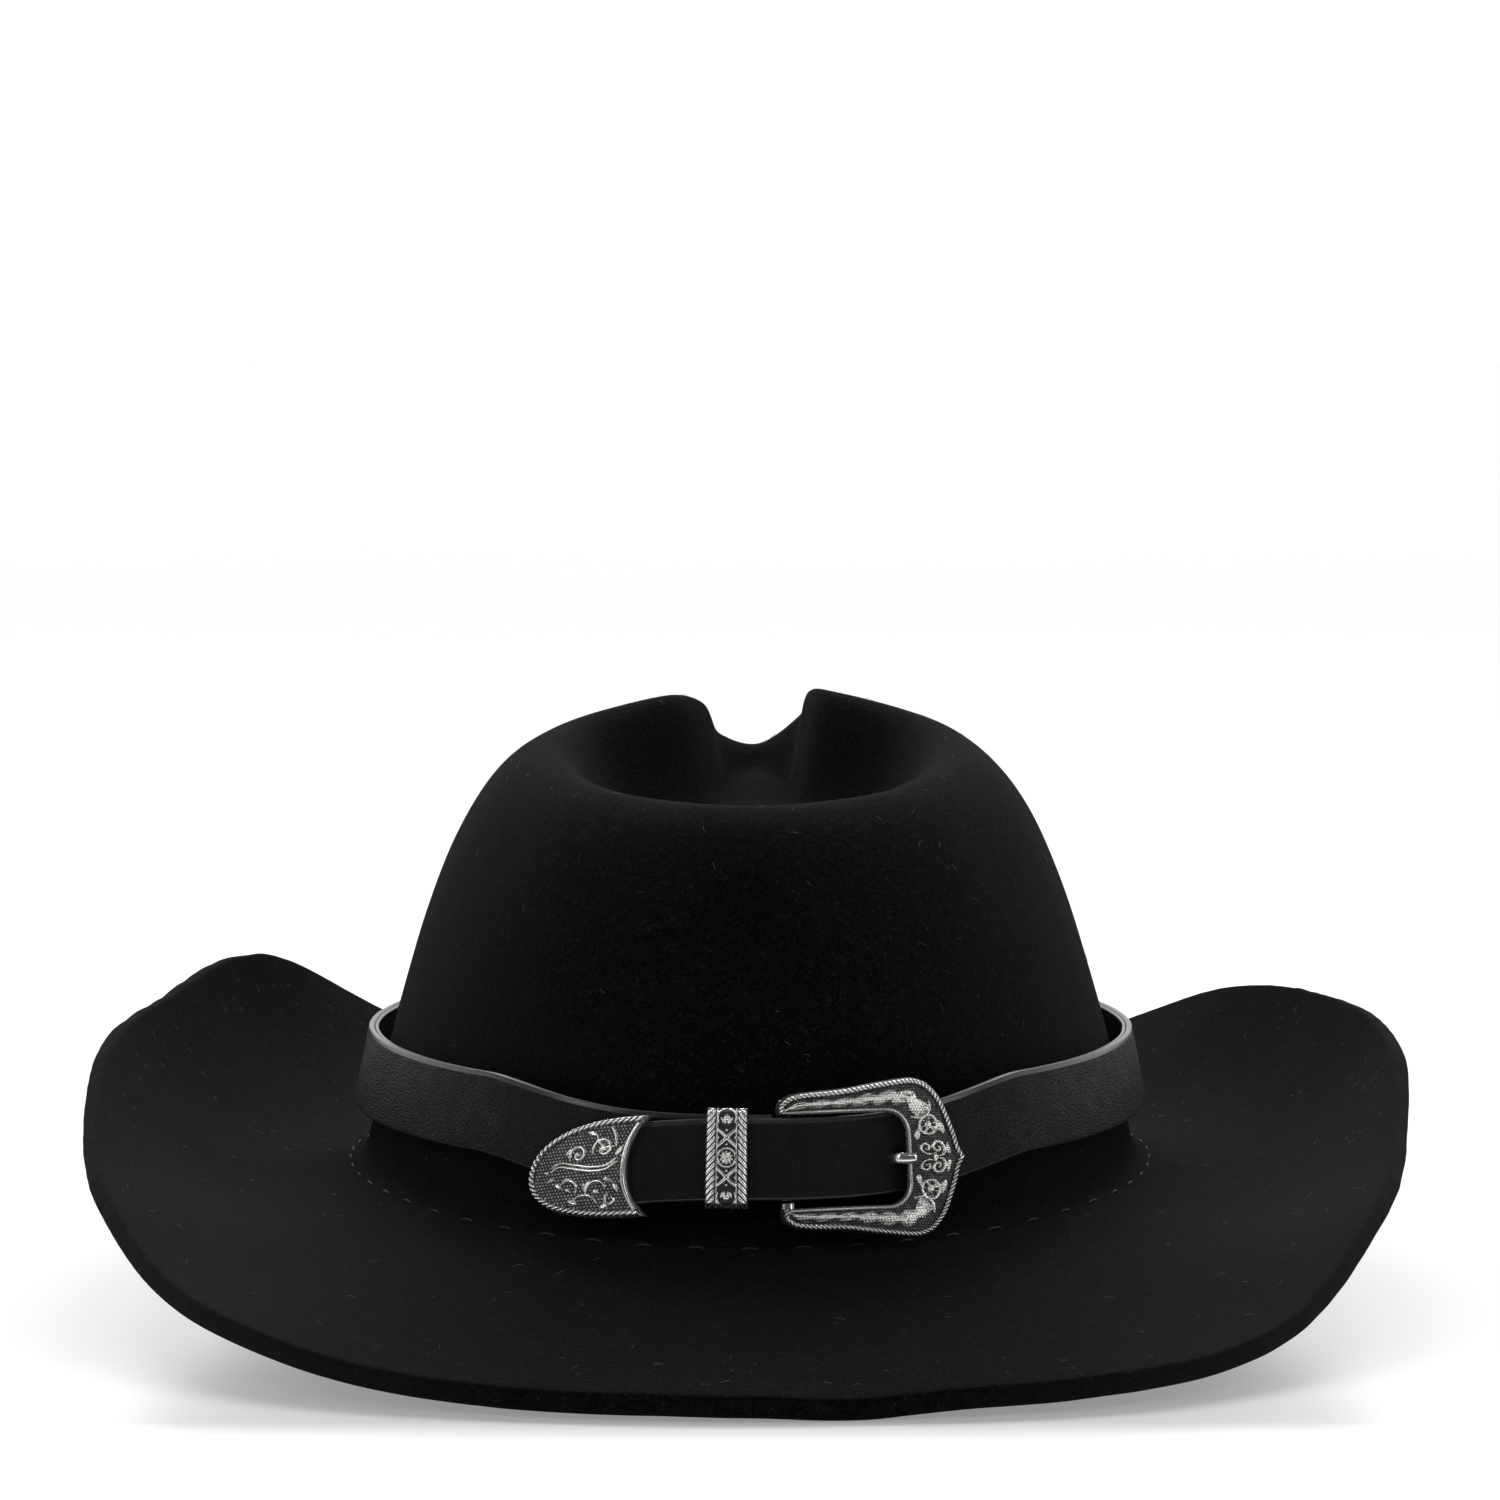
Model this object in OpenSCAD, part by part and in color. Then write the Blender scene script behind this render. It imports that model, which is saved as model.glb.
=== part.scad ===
// Western felt hat with a rolled brim, a centre crease pinched at the front, and a loose
// leather hatband closed by a three piece western buckle set (buckle, keeper, tip).
// X is the wearer's left-right, -Y is the back of the hat (buckle side), +Y the front, +Z up.
// The origin is on the resting plane, in the middle of the hat.

/* [Crown] */
// half width of the crown where it meets the brim
break_half_w = 93.3; // [80:0.5:105]
// half length of the crown where it meets the brim
break_half_l = 114.5; // [100:0.5:130]
// height of the break above the floor at the two sides
break_z_side = 28.5; // [20:0.5:40]
// height of the break above the floor at back and front
break_z_end = 25.5; // [18:0.5:38]
// fillet between crown and brim
break_r = 5; // [2:0.5:9]
// lean of the crown wall, degrees
crown_lean = 12.5; // [4:0.5:20]
// height of the crown rim at the back
rim_back_z = 120; // [95:0.5:140]
// how far behind the centre the back rim lies
rim_back_y = 70; // [50:1:90]
// half width of the crown rim at its widest
rim_half_w = 46.5; // [35:0.5:65]
// height of the rim at its widest
rim_side_z = 126; // [100:0.5:145]
// height of the two ridges at the pinch
ridge_z = 136.5; // [105:0.5:150]
// half distance between the ridges at the pinch
ridge_half_w = 16; // [12:0.5:30]
// how far in front of the centre the pinch lies
pinch_y = 52; // [30:1:65]
// height of the low front rim beyond the pinch
rim_front_z = 120; // [100:0.5:140]
// how far in front of the centre the front rim lies
rim_front_y = 82; // [65:1:100]
// height of the crease floor at the back
crease_back_z = 105; // [85:0.5:125]
// height of the crease floor at the front
crease_front_z = 114; // [90:0.5:130]
// half width of the crease floor at the back
crease_half_w = 24; // [12:0.5:36]
// half width of the crease floor in the pinch
crease_pinch_w = 8; // [3:0.5:16]
// how far the pinch is pushed to the wearer's left
pinch_shift = 1.5; // [-5:0.5:5]
// thickness of the felt in the crown
felt_t = 2.6; // [1.5:0.1:4]

/* [Brim] */
// half width over the rolled sides
brim_half_w = 154; // [135:0.5:185]
// half length from front edge to back edge
brim_half_l = 187.5; // [165:1:215]
// height of the brim edge beside the crown
roll_side_z = 54; // [25:0.5:85]
// height of the brim edge at the highest part of the roll
roll_top_z = 58; // [25:0.5:90]
// extra height of the left roll over the right one
roll_left_extra = 8.5; // [-6:0.5:12]
// slope of the brim where it leaves the crown at the ends, degrees
brim_droop = 16; // [0:1:25]
// slope of the brim where it leaves the crown at the sides, degrees
side_droop = 8; // [0:1:20]
// thickness of the felt at the raw brim edge
edge_t = 5.4; // [2.5:0.1:6]

/* [Sweatband] */
// height of the leather sweatband
sweat_h = 48; // [30:1:60]
// thickness of the sweatband leather
sweat_t = 1.1; // [0.6:0.1:2]
// gap between sweatband and felt
sweat_gap = 0.6; // [0.3:0.1:2]
// number of stitches that hold the sweatband
stitch_count = 72; // [36:4:120]
// length of one stitch
stitch_len = 4.2; // [2:0.1:6]
// thickness of the sewing thread
thread_d = 0.7; // [0.4:0.1:1.2]

/* [Hatband] */
// width of the strap
strap_w = 18.5; // [14:0.5:26]
// thickness of the outer leather
face_t = 1.4; // [0.8:0.1:2.2]
// thickness of the lining leather
lining_t = 0.9; // [0.5:0.1:1.6]
// glue line between outer leather and lining
glue_gap = 0.05; // [0.02:0.01:0.2]
// height of the strap above the floor at the back
strap_back_z = 35.3; // [30:0.1:50]
// height of the strap above the floor at the sides and front
strap_side_z = 42; // [34:0.5:60]
// how far the free end hangs down at its tip
free_droop = 6; // [0:0.1:7]
// how far the buckled end stands above the free end
end_step = 1; // [0:0.1:2.5]
// lean of the strap, degrees
strap_lean = 12; // [4:0.5:20]
// inner half width of the strap loop
loop_half_w = 93.5; // [80:0.1:110]
// inner radius of the strap loop over the back and front
loop_end_r = 79.2; // [68:0.1:90]
// distance of the centre of that radius from the middle of the hat
loop_end_y = 36; // [26:0.5:46]
// gap between the two overlapping strap ends
overlap_gap = 0.6; // [0.3:0.1:2]
// prong hole length along the strap
hole_len = 5.6; // [4:0.1:8]
// prong hole width
hole_w = 3.6; // [2.6:0.1:5]

/* [Buckle set] */
// buckle length along the strap
buckle_len = 41; // [36:0.5:54]
// buckle height across the strap
buckle_h = 36; // [30:0.5:44]
// room above and below the strap in the buckle opening
opening_gap = 1.25; // [0.8:0.05:4]
// how far the buckle sits above the middle of the strap
buckle_rise = 0.9; // [0:0.1:1]
// width of the closed end of the buckle
bow_w = 13.5; // [8:0.5:18]
// gap between the closed end of the buckle and the strap under it
frame_lift = 2; // [0.4:0.1:3]
// thickness of the buckle frame
frame_t = 3; // [2:0.1:4.5]
// position of the buckle's heel bar round the back curve, degrees
bar_angle = 6; // [2:0.1:12]
// heel bar diameter
bar_d = 1.8; // [1.2:0.1:2.2]
// radial clearance of leather and prong round the heel bar
bar_clear = 0.15; // [0.1:0.05:0.4]
// wall of the lugs and eyes round the heel bar
eye_wall = 0.6; // [0.4:0.1:1]
// prong width
prong_w = 2.6; // [1.6:0.1:3.4]
// prong thickness
prong_t = 1.6; // [1:0.1:2.2]
// length of the keeper along the strap
keeper_len = 9.6; // [6:0.2:14]
// position of the keeper's middle round the back curve, degrees
keeper_angle = -3.6; // [-8:0.1:0]
// keeper wall thickness
keeper_t = 0.8; // [0.7:0.1:1.4]
// clearance of the keeper round the strap
keeper_gap = 0.4; // [0.3:0.1:1]
// length of the metal tip
tip_len = 29; // [20:0.5:38]
// how far the metal tip stands above and below the strap
tip_room = 2.15; // [1.8:0.05:4]
// thickness of the tip's metal
tip_t = 1; // [0.6:0.1:1.6]
// how far the tip hangs below the middle of the strap
tip_drop = 0.8; // [0:0.1:1]
// position of the tip's outer point round the back curve, degrees
tip_angle = -36; // [-46:0.5:-30]

/* [Hidden] */
$fn = 64;

turns = 64;          // lines round the hat
up = [0, 0, 1];
felt_col = [0.07, 0.07, 0.08];
leather_col = [0.16, 0.15, 0.15];
metal_col = [0.72, 0.71, 0.69];
thread_col = [0.1, 0.1, 0.1];

// ---- small helpers ----
function unit(v) = v / max(norm(v), 1e-9);
function flat(v) = unit([v[0], v[1], 0]);
function ease(x) = let (c = min(1, max(0, x))) c * c * (3 - 2 * c);
function lerp(a, b, s) = a + (b - a) * s;
function bez(a, b, c, d, s) = let (r = 1 - s)
    a * (r * r * r) + b * (3 * s * r * r) + c * (3 * s * s * r) + d * (s * s * s);

// closed loop through stations [angle, x, y, z], smooth through every station
function at(S, i) = let (n = len(S), k = (i % n + n) % n, w = floor(i / n))
    [S[k][0] + 360 * w, [S[k][1], S[k][2], S[k][3]]];
function tan_at(S, i) = (at(S, i + 1)[1] - at(S, i - 1)[1]) / (at(S, i + 1)[0] - at(S, i - 1)[0]);
function find_i(S, a, i = 0) = (i + 1 < len(S) && S[i + 1][0] <= a) ? find_i(S, a, i + 1) : i;
function loop_pt(S, t) = let (
    a = t < S[0][0] ? t + 360 : (t >= S[0][0] + 360 ? t - 360 : t),
    i = find_i(S, a), p = at(S, i), q = at(S, i + 1), h = q[0] - p[0], s = (a - p[0]) / h,
    s2 = s * s, s3 = s2 * s)
    p[1] * (2 * s3 - 3 * s2 + 1) + tan_at(S, i) * h * (s3 - 2 * s2 + s)
    + q[1] * (3 * s2 - 2 * s3) + tan_at(S, i + 1) * h * (s3 - s2);
// right half stations plus their mirror, with a shift in x and a lift for the left half
function both(R, L) = concat(R, [for (i = [len(L) - 2:-1:1]) [180 - L[i][0], -L[i][1], L[i][2], L[i][3]]]);

// ---- stations of the crown rim, crease floor and brim edge ----
function rim_half(side) = let (p = pinch_shift * side, r = ridge_half_w, g = ridge_z + 0.5 * side) [
    [-90, 0, -rim_back_y, rim_back_z],
    [-56, rim_half_w * 0.68, -rim_back_y * 0.8, lerp(rim_back_z, rim_side_z, 0.3)],
    [-22, rim_half_w, -rim_back_y * 0.32, rim_side_z],
    [18, rim_half_w * 0.92, pinch_y * 0.27, lerp(rim_side_z, g, 0.55)],
    [52, r + 4, pinch_y * 0.77, g],
    [66, r - 2.5 + p, pinch_y + 2, g - 2 + side],
    [78, r - 5.5 + 1.8 * p, lerp(pinch_y, rim_front_y, 0.54), rim_front_z + 6.5 + 2.5 * side],
    [90, 1.5 * pinch_shift, rim_front_y, rim_front_z]];
function floor_half(side) = let (p = pinch_shift * side, r = crease_pinch_w) [
    [-90, 0, -rim_back_y * 0.66, crease_back_z],
    [-56, crease_half_w * 0.62, -rim_back_y * 0.54, crease_back_z],
    [-22, crease_half_w, -rim_back_y * 0.28, crease_back_z],
    [18, crease_half_w * 0.85, pinch_y * 0.12, crease_back_z + 1],
    [52, r + 1.5 + p, pinch_y * 0.58, crease_back_z + 3],
    [66, r - 1 + p, pinch_y * 0.88, lerp(crease_back_z, crease_front_z, 0.55)],
    [78, r - 2.5 + p, pinch_y + 6, lerp(crease_back_z, crease_front_z, 0.85)],
    [90, pinch_shift, pinch_y + 16, crease_front_z]];
function edge_half(side) = let (w = brim_half_w, l = brim_half_l, e = edge_t, k = side < 0 ? 1 : 0,
    x = roll_left_extra * k, s = roll_side_z + 0.3 * x, g = roll_top_z - 0.1 * x) [
    [-90, 0, -l, e * cos(brim_droop) + 0.08],
    [-66, w * 0.5, -l * 0.925, e + 1.5 + 1.2 * k],
    [-49, w * (0.765 + 0.02 * k), -l * 0.755, s * 0.25 + 2.7 * k],
    [-32, w * (0.93 + 0.02 * k), -l * 0.485, s * 0.575],
    [-15, w * (0.985 + 0.01 * k), -l * 0.23, s * 0.83],
    [0, w, 0, s],
    [20, w * 0.955, l * 0.27, g],
    [42, w * 0.81, l * 0.59, g * 0.92 + 1.1 * x],
    [58, w * 0.62, l * 0.81, g * 0.66 + 0.4 * x],
    [74, w * 0.32, l * 0.95, g * 0.28],
    [90, 0, l, e * cos(brim_droop) + 0.08]];
RIM = both(rim_half(1), rim_half(-1));
FLOOR = both(floor_half(1), floor_half(-1));
EDGE = both(edge_half(1), edge_half(-1));

// more lines toward the pinch at the front
function line_angle(j) = let (p = -90 + 360 * j / turns) p + 24 * cos(p);

// ---- one line of the outer felt surface, crease floor to brim edge ----
function line_at(t) = let (
    F = loop_pt(FLOOR, t), C = loop_pt(RIM, t), E = loop_pt(EDGE, t),
    K = [break_half_w * cos(t), break_half_l * sin(t), lerp(break_z_end, break_z_side, pow(cos(t), 2))],
    n = unit([cos(t) / break_half_w, sin(t) / break_half_l, 0]),
    sn = sin(t), far = pow(max(0, sn), 2), near = pow(max(0, -sn), 2), mid = 1 - far - near,
    W = up * cos(crown_lean) - n * sin(crown_lean),
    shoulder = 22 * mid + 17 * near + 10 * far,
    hold = (0.5 * mid + 0.45 * near + 0.35 * far) * (C[2] - K[2]),
    out = flat(K - C),
    g = C - F, gw = norm([g[0], g[1]]), gu = flat(g),
    sd = pow(abs(cos(t)), 1.5),
    a0 = -(brim_droop * (1 - sd) + side_droop * sd),
    b = E - K, bl = norm(b), bh = flat(b),
    a1 = let (s = atan2(b[2], norm([b[0], b[1]]))) min(86, max(-40, s + 1.15 * (s - a0))),
    T0 = unit(n + bh) * cos(a0) + up * sin(a0),
    T1 = bh * cos(a1) + up * sin(a1),
    KW = K + W * break_r, KB = K + T0 * break_r) concat(
    [for (i = [0:3]) bez(F, F + gu * gw * 0.62, C - gu * gw * 0.42, C, i / 4)],
    [for (i = [0:6]) bez(C, C + out * shoulder, K + W * hold, KW, i / 7)],
    [for (i = [0:2]) let (s = i / 3) KW * ((1 - s) * (1 - s)) + K * (2 * s * (1 - s)) + KB * (s * s)],
    [for (i = [0:7]) bez(KB, KB + T0 * bl * 0.36, E - T1 * bl * 0.4, E, i / 7)]);
GRID = [for (j = [0:turns - 1]) line_at(line_angle(j))];
rows = len(GRID[0]);
function normal_at(j, i) = unit(cross(
    GRID[j][min(rows - 1, i + 1)] - GRID[j][max(0, i - 1)],
    GRID[(j + 1) % turns][i] - GRID[(j + turns - 1) % turns][i]));
NORM = [for (j = [0:turns - 1]) [for (i = [0:rows - 1]) normal_at(j, i)]];
// felt thickens over the brim toward its raw edge
function thick(i) = felt_t + (edge_t - felt_t) * ease((i - 13) / (rows - 14));

// closed skin between an inner grid A and an outer grid B, joined at the last row and across the first row
module shell(A, B) {
    n = len(A); m = len(A[0]);
    function ia(j, i) = ((j + n) % n) * m + i;
    function ib(j, i) = n * m + ((j + n) % n) * m + i;
    h = n / 2;
    polyhedron(points = concat([for (l = A) for (p = l) p], [for (l = B) for (p = l) p]), faces = concat(
        [for (j = [0:n - 1]) for (i = [0:m - 2]) for (f = [0, 1])
            f == 0 ? [ia(j, i), ia(j, i + 1), ia(j + 1, i + 1)] : [ia(j, i), ia(j + 1, i + 1), ia(j + 1, i)]],
        [for (j = [0:n - 1]) for (i = [0:m - 2]) for (f = [0, 1])
            f == 0 ? [ib(j, i), ib(j + 1, i + 1), ib(j, i + 1)] : [ib(j, i), ib(j + 1, i), ib(j + 1, i + 1)]],
        [for (j = [0:n - 1]) for (f = [0, 1])
            f == 0 ? [ia(j, m - 1), ib(j, m - 1), ib(j + 1, m - 1)]
                   : [ia(j, m - 1), ib(j + 1, m - 1), ia(j + 1, m - 1)]],
        [for (j = [0:h - 1]) for (f = [0, 1]) if (j > 0 || f == 1) if (j < h - 1 || f == 0 || j == 0)
            f == 0 ? [ia(j, 0), ia(j + 1, 0), ia(n - j, 0)] : [ia(j + 1, 0), ia(n - j - 1, 0), ia(n - j, 0)]],
        [for (j = [0:h - 1]) for (f = [0, 1]) if (j > 0 || f == 1) if (j < h - 1 || f == 0 || j == 0)
            f == 0 ? [ib(j, 0), ib(n - j, 0), ib(j + 1, 0)] : [ib(j + 1, 0), ib(n - j, 0), ib(n - j - 1, 0)]]));
}

// closed ring skinned through sections that go once round
module ring(S) {
    n = len(S); m = len(S[0]);
    function k(j, i) = (j % n) * m + i % m;
    polyhedron(points = [for (s = S) for (p = s) p], faces = [
        for (j = [0:n - 1]) for (i = [0:m - 1]) for (f = [0, 1])
            f == 0 ? [k(j, i), k(j, i + 1), k(j + 1, i + 1)] : [k(j, i), k(j + 1, i + 1), k(j + 1, i)]]);
}

// open strip skinned through sections, closed by its two end faces
module strip(S) {
    n = len(S); m = len(S[0]);
    function k(j, i) = j * m + i % m;
    polyhedron(points = [for (s = S) for (p = s) p], faces = concat(
        [for (j = [0:n - 2]) for (i = [0:m - 1]) for (f = [0, 1])
            f == 0 ? [k(j, i), k(j, i + 1), k(j + 1, i + 1)] : [k(j, i), k(j + 1, i + 1), k(j + 1, i)]],
        [[for (i = [m - 1:-1:0]) k(0, i)]], [[for (i = [0:m - 1]) k(n - 1, i)]]));
}

module felt_body() color(felt_col)
    shell([for (j = [0:turns - 1]) [for (i = [0:rows - 1]) GRID[j][i] - NORM[j][i] * thick(i)]], GRID);

// ---- sweatband: follows the inside of the crown wall ----
function wall_in(j, i, d) = GRID[j][i] - NORM[j][i] * d;
// point on the inside of the wall, a given height above the break
function inner_pt(j, z, d, i = 11) = let (p = wall_in(j, i, d), q = wall_in(j, i - 1, d))
    (q[2] >= z || i <= 5) ? lerp(p, q, (z - p[2]) / (q[2] - p[2])) : inner_pt(j, z, d, i - 1);
module sweatband() color(leather_col) {
    a = felt_t + sweat_gap; b = a + sweat_t;
    zb = break_z_side + break_r;
    ring([for (j = [0:turns - 1]) let (z0 = zb - 4, z1 = zb - 4 + sweat_h)
        [inner_pt(j, z0, b), inner_pt(j, z0, a), inner_pt(j, (z0 + z1) / 2, a), inner_pt(j, z1, a),
         inner_pt(j, z1, b), inner_pt(j, (z0 + z1) / 2, b)]]);
}

// ---- stitches on the brim just outside the break ----
module sweatband_stitching() color(thread_col)
    for (k = [0:stitch_count - 1]) {
        u = k / stitch_count * turns; j = floor(u); f = u - j; j2 = (j + 1) % turns;
        m = (GRID[j][13] + GRID[j][14]) / 2; m2 = (GRID[j2][13] + GRID[j2][14]) / 2;
        p = lerp(m, m2, f) + lerp(NORM[j][14], NORM[j2][14], f) * (thread_d / 2 + 0.25);
        v = m2 - m;
        translate(p) rotate([0, 0, atan2(v[1], v[0])])
            rotate([0, 90 - atan2(v[2], norm([v[0], v[1]])), 0])
                cylinder(h = stitch_len * 0.8, d = thread_d, center = true, $fn = 16);
    }

// ---- strap loop of four tangent arcs; a is the outward direction, d the distance outside the loop ----
side_r = (pow(loop_half_w, 2) + pow(loop_end_y, 2) - pow(loop_end_r, 2)) / (2 * (loop_half_w - loop_end_r));
turn_a = atan2(loop_end_y, side_r - loop_half_w);
function oval(a, d) = let (s = sin(a), c = cos(a), e = abs(s) > sin(turn_a))
    e ? [(loop_end_r + d) * c, (s > 0 ? 1 : -1) * loop_end_y + (loop_end_r + d) * s]
      : [(c > 0 ? -1 : 1) * (side_r - loop_half_w) + (side_r + d) * c, (side_r + d) * s];
strap_t = face_t + glue_gap + lining_t;
lift = strap_t + overlap_gap;
function band_z(a) = a < -90 ? strap_back_z - free_droop * pow((-90 - a) / 36, 2)
    : strap_back_z + (strap_side_z - strap_back_z) * ease((oval(a, 0)[1] + loop_end_y + loop_end_r) / 30)
      + end_step * ease((a - 215) / 30);
function band_pt(a, d, h) = let (p = oval(a, d * cos(strap_lean) - h * sin(strap_lean)))
    [p[0], p[1], band_z(a) + h * cos(strap_lean) + d * sin(strap_lean)];
// the free end lies outside the other end over the back and settles inward at the right side
function band_off(a) = lift * (1 - ease((a + 48) / 44))
    + (a < -60 ? (band_z(a + 360) - band_z(a)) * sin(strap_lean) * ease((-60 - a) / 25) : 0);
fold_a = -90 + bar_angle;
free_a = -90 + tip_angle + 3;
module band(d0, d1, end_a) {
    n = 112;
    strip([for (k = [0:n]) let (a = free_a + (end_a - free_a) * k / n, o = band_off(a))
        [band_pt(a, o + d0, 0), band_pt(a, o + d1, 0), band_pt(a, o + d1, strap_w), band_pt(a, o + d0, strap_w)]]);
}
outer_r = loop_end_r + lift + strap_t;   // outside of the free end over the back
bar_r = loop_end_r + strap_t / 2;
eye_r = bar_d / 2 + bar_clear + eye_wall;
// ---- the buckle is a curved plate with its own radius, open toward the heel bar ----
pa = [(bar_r + 2) * sin(bar_angle), -loop_end_y - (bar_r + 2) * cos(bar_angle)];
end_angle = bar_angle + buckle_len / (outer_r + frame_t / 2) * 180 / PI;
pb_r = outer_r + frame_t / 2 + frame_lift;
pb = [pb_r * sin(end_angle), -loop_end_y - pb_r * cos(end_angle)];
chord = norm(pb - pa);
bulge = 4.4;
plate_r = (pow(chord / 2, 2) + bulge * bulge) / (2 * bulge);
plate_n = [(pb - pa)[1], -(pb - pa)[0]] / chord;
plate_c = (pa + pb) / 2 + plate_n * (bulge - plate_r);
plate_a = atan2(plate_n[0], -plate_n[1]);
opening_h = strap_w + 2 * opening_gap;
tip_h = strap_w + 2 * tip_room;
// place of the prong's rest on the closed end, and of the hole just before it
rest_x = chord - bow_w;
hole_angle = bar_angle + (rest_x - 3.7) / outer_r * 180 / PI;
// frame of the back curve: turned by b degrees, at radius r, leaning with the strap
module on_curve(b, r) translate([0, -loop_end_y, 0]) rotate([0, 0, b])
    translate([0, -r, strap_back_z]) rotate([-strap_lean, 0, 0]) children();
module prong_hole() on_curve(hole_angle, outer_r)
    translate([-hole_len / 2, -2, strap_w / 2 - hole_w / 2]) cube([hole_len, strap_t + 4, hole_w]);

module strap_face() color(leather_col) {
    difference() {
        band(lining_t + glue_gap, strap_t, 360 + fold_a - 2.4);
        prong_hole();
    }
    // folded end round the heel bar, cut away in the middle for the prong
    fold_h = strap_w / 2 - prong_w / 2 - 0.6;
    for (z = [0, strap_w - fold_h]) on_curve(bar_angle, bar_r) translate([0, 0, z])
        difference() {
            union() {
                cylinder(h = fold_h, r = eye_r);
                translate([-4.4, -strap_t / 2 + 0.05, 0]) cube([4.4, face_t - 0.55, fold_h]);
            }
            translate([0, 0, -1]) cylinder(h = strap_w, r = bar_d / 2 + bar_clear);
        }
}
module strap_lining() color(leather_col * 0.8)
    difference() {
        band(0, lining_t, 360 + fold_a - 2.4);
        prong_hole();
    }

// ---- buckle frame: a curved plate with lugs at its open end and a rest for the prong ----
// flat outline of the buckle: s along the strap from the heel bar, v up from the strap middle
module buckle_outline() {
    L = chord; H = buckle_h / 2; o = opening_h / 2; r = L - bow_w;
    // [share of the length, share of the half height] from the horn to the point
    U = [[-0.035, 0.66], [-0.02, 0.76], [0.06, 0.85], [0.3, 0.89], [0.45, 0.94], [0.6, 0.985], [0.7, 1],
         [0.78, 0.945], [0.84, 0.84], [0.89, 0.68], [0.93, 0.485], [0.965, 0.28], [1.0, 0.09]];
    difference() {
        polygon(concat([for (u = U) [u[0] * L, u[1] * H]], [[1.02 * L, 0]],
                       [for (i = [len(U) - 1:-1:0]) [U[i][0] * L, -U[i][1] * H]]));
        polygon(concat([[-4, o], [r - 5, o]],
            [for (k = [1:4]) [r - 5 + 5 * sin(k * 22.5), o - 5 + 5 * cos(k * 22.5)]],
            [for (k = [4:-1:1]) [r - 5 + 5 * sin(k * 22.5), -o + 5 - 5 * cos(k * 22.5)]],
            [[r - 5, -o], [-4, -o]]));
    }
}
module plate_shell(d0, d1) translate([plate_c[0], plate_c[1], strap_back_z]) rotate([0, 0, plate_a - 90 - 32])
    rotate_extrude(angle = 64, $fn = 180) polygon([for (q = [[d0, -12], [d1, -12], [d1, strap_w + 12], [d0, strap_w + 12]])
        [plate_r + q[0] * cos(strap_lean) - q[1] * sin(strap_lean), q[1] * cos(strap_lean) + q[0] * sin(strap_lean)]]);
module plate_place() translate([plate_c[0], plate_c[1], strap_back_z]) rotate([0, 0, plate_a])
    translate([0, -plate_r, 0]) rotate([-strap_lean, 0, 0]) translate([-chord / 2, 0, strap_w / 2 + buckle_rise])
        rotate([90, 0, 0]) children();
lug_h = 2.6;
lug_lo = strap_w / 2 + buckle_rise - opening_h / 2 + 0.2;
lug_hi = strap_w / 2 + buckle_rise + opening_h / 2 - 0.2;
module buckle_frame() color(metal_col) {
    difference() {
        union() {
            intersection() {
                plate_shell(-frame_t / 2, frame_t / 2);
                plate_place() translate([0, 0, -16]) linear_extrude(height = 32) buckle_outline();
            }
            // lugs that carry the heel bar
            for (z = [lug_lo - lug_h, lug_hi]) on_curve(bar_angle, bar_r) translate([0, 0, z]) {
                cylinder(h = lug_h, r = eye_r);
                translate([-eye_r, -2.4, 0]) cube([2 * eye_r, 2.4, lug_h]);
            }
        }
        bar_rod();
        // notch that the prong rests in
        on_curve(bar_angle, bar_r) translate([rest_x - 4, -12, strap_w / 2 - prong_w / 2 - 0.4])
            cube([6, 9.2, prong_w + 0.8]);
    }
}
module bar_rod() on_curve(bar_angle, bar_r)
    translate([0, 0, lug_lo - lug_h + 0.5]) cylinder(h = lug_hi - lug_lo + 2 * lug_h - 1, d = bar_d);
module heel_bar() color(metal_col * 0.9) bar_rod();

// ---- prong: an eye round the heel bar, a shank under the strap, a rise through the hole ----
module prong() color(metal_col) on_curve(bar_angle, bar_r) translate([0, 0, strap_w / 2 - prong_w / 2]) {
    difference() {
        cylinder(h = prong_w, r = eye_r);
        translate([0, 0, -1]) cylinder(h = prong_w + 2, r = bar_d / 2 + bar_clear);
    }
    r = rest_x; t = prong_t;
    linear_extrude(height = prong_w) polygon([
        [eye_r - 0.4, t / 2], [6, t], [12, 0.6 + t], [r - 8.3, 2.6 + t], [r - 5.5, 2.6 + t], [r - 3.6, 0.8 + t],
        [r - 1.9, t - 4], [r + 1.1, t - 5], [r + 1.7, t - 5.8], [r + 0.9, t - 6.6], [r - 2.3, t - 6.4],
        [r - 3.4, t - 5.6], [r - 5.5, 1.6], [r - 6.5, 2.5], [r - 8.1, 2.5], [12, 0.7], [6, 0],
        [eye_r - 0.4, -t / 2]]);
}

// ---- keeper: a flat metal loop round both strap ends ----
function q(d, h) = [loop_end_r + d * cos(strap_lean) - h * sin(strap_lean),
                    h * cos(strap_lean) + d * sin(strap_lean)];
module keeper() color(metal_col) translate([0, -loop_end_y, strap_back_z]) {
    w = keeper_len / outer_r * 180 / PI;
    d0 = -keeper_gap; d1 = lift + strap_t + keeper_gap + 0.4;
    h0 = -keeper_gap - 0.5; h1 = strap_w + end_step + keeper_gap;
    m = strap_w / 2; t = keeper_t;
    rotate([0, 0, -90 + keeper_angle - w / 2]) rotate_extrude(angle = w, $fn = 180) difference() {
        polygon([q(d0 - t, h0), q(d0 - t + 0.4, h0 - t), q(d1 + 0.4, h0 - t), q(d1 + t, h0 + 1.2),
                 q(d1 + t + 0.7, m), q(d1 + t, h1 - 1.2), q(d1 + 0.4, h1 + t), q(d0 - t + 0.4, h1 + t), q(d0 - t, h1)]);
        polygon([q(d0, h0), q(d1, h0), q(d1, h1), q(d0, h1)]);
    }
}

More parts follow.
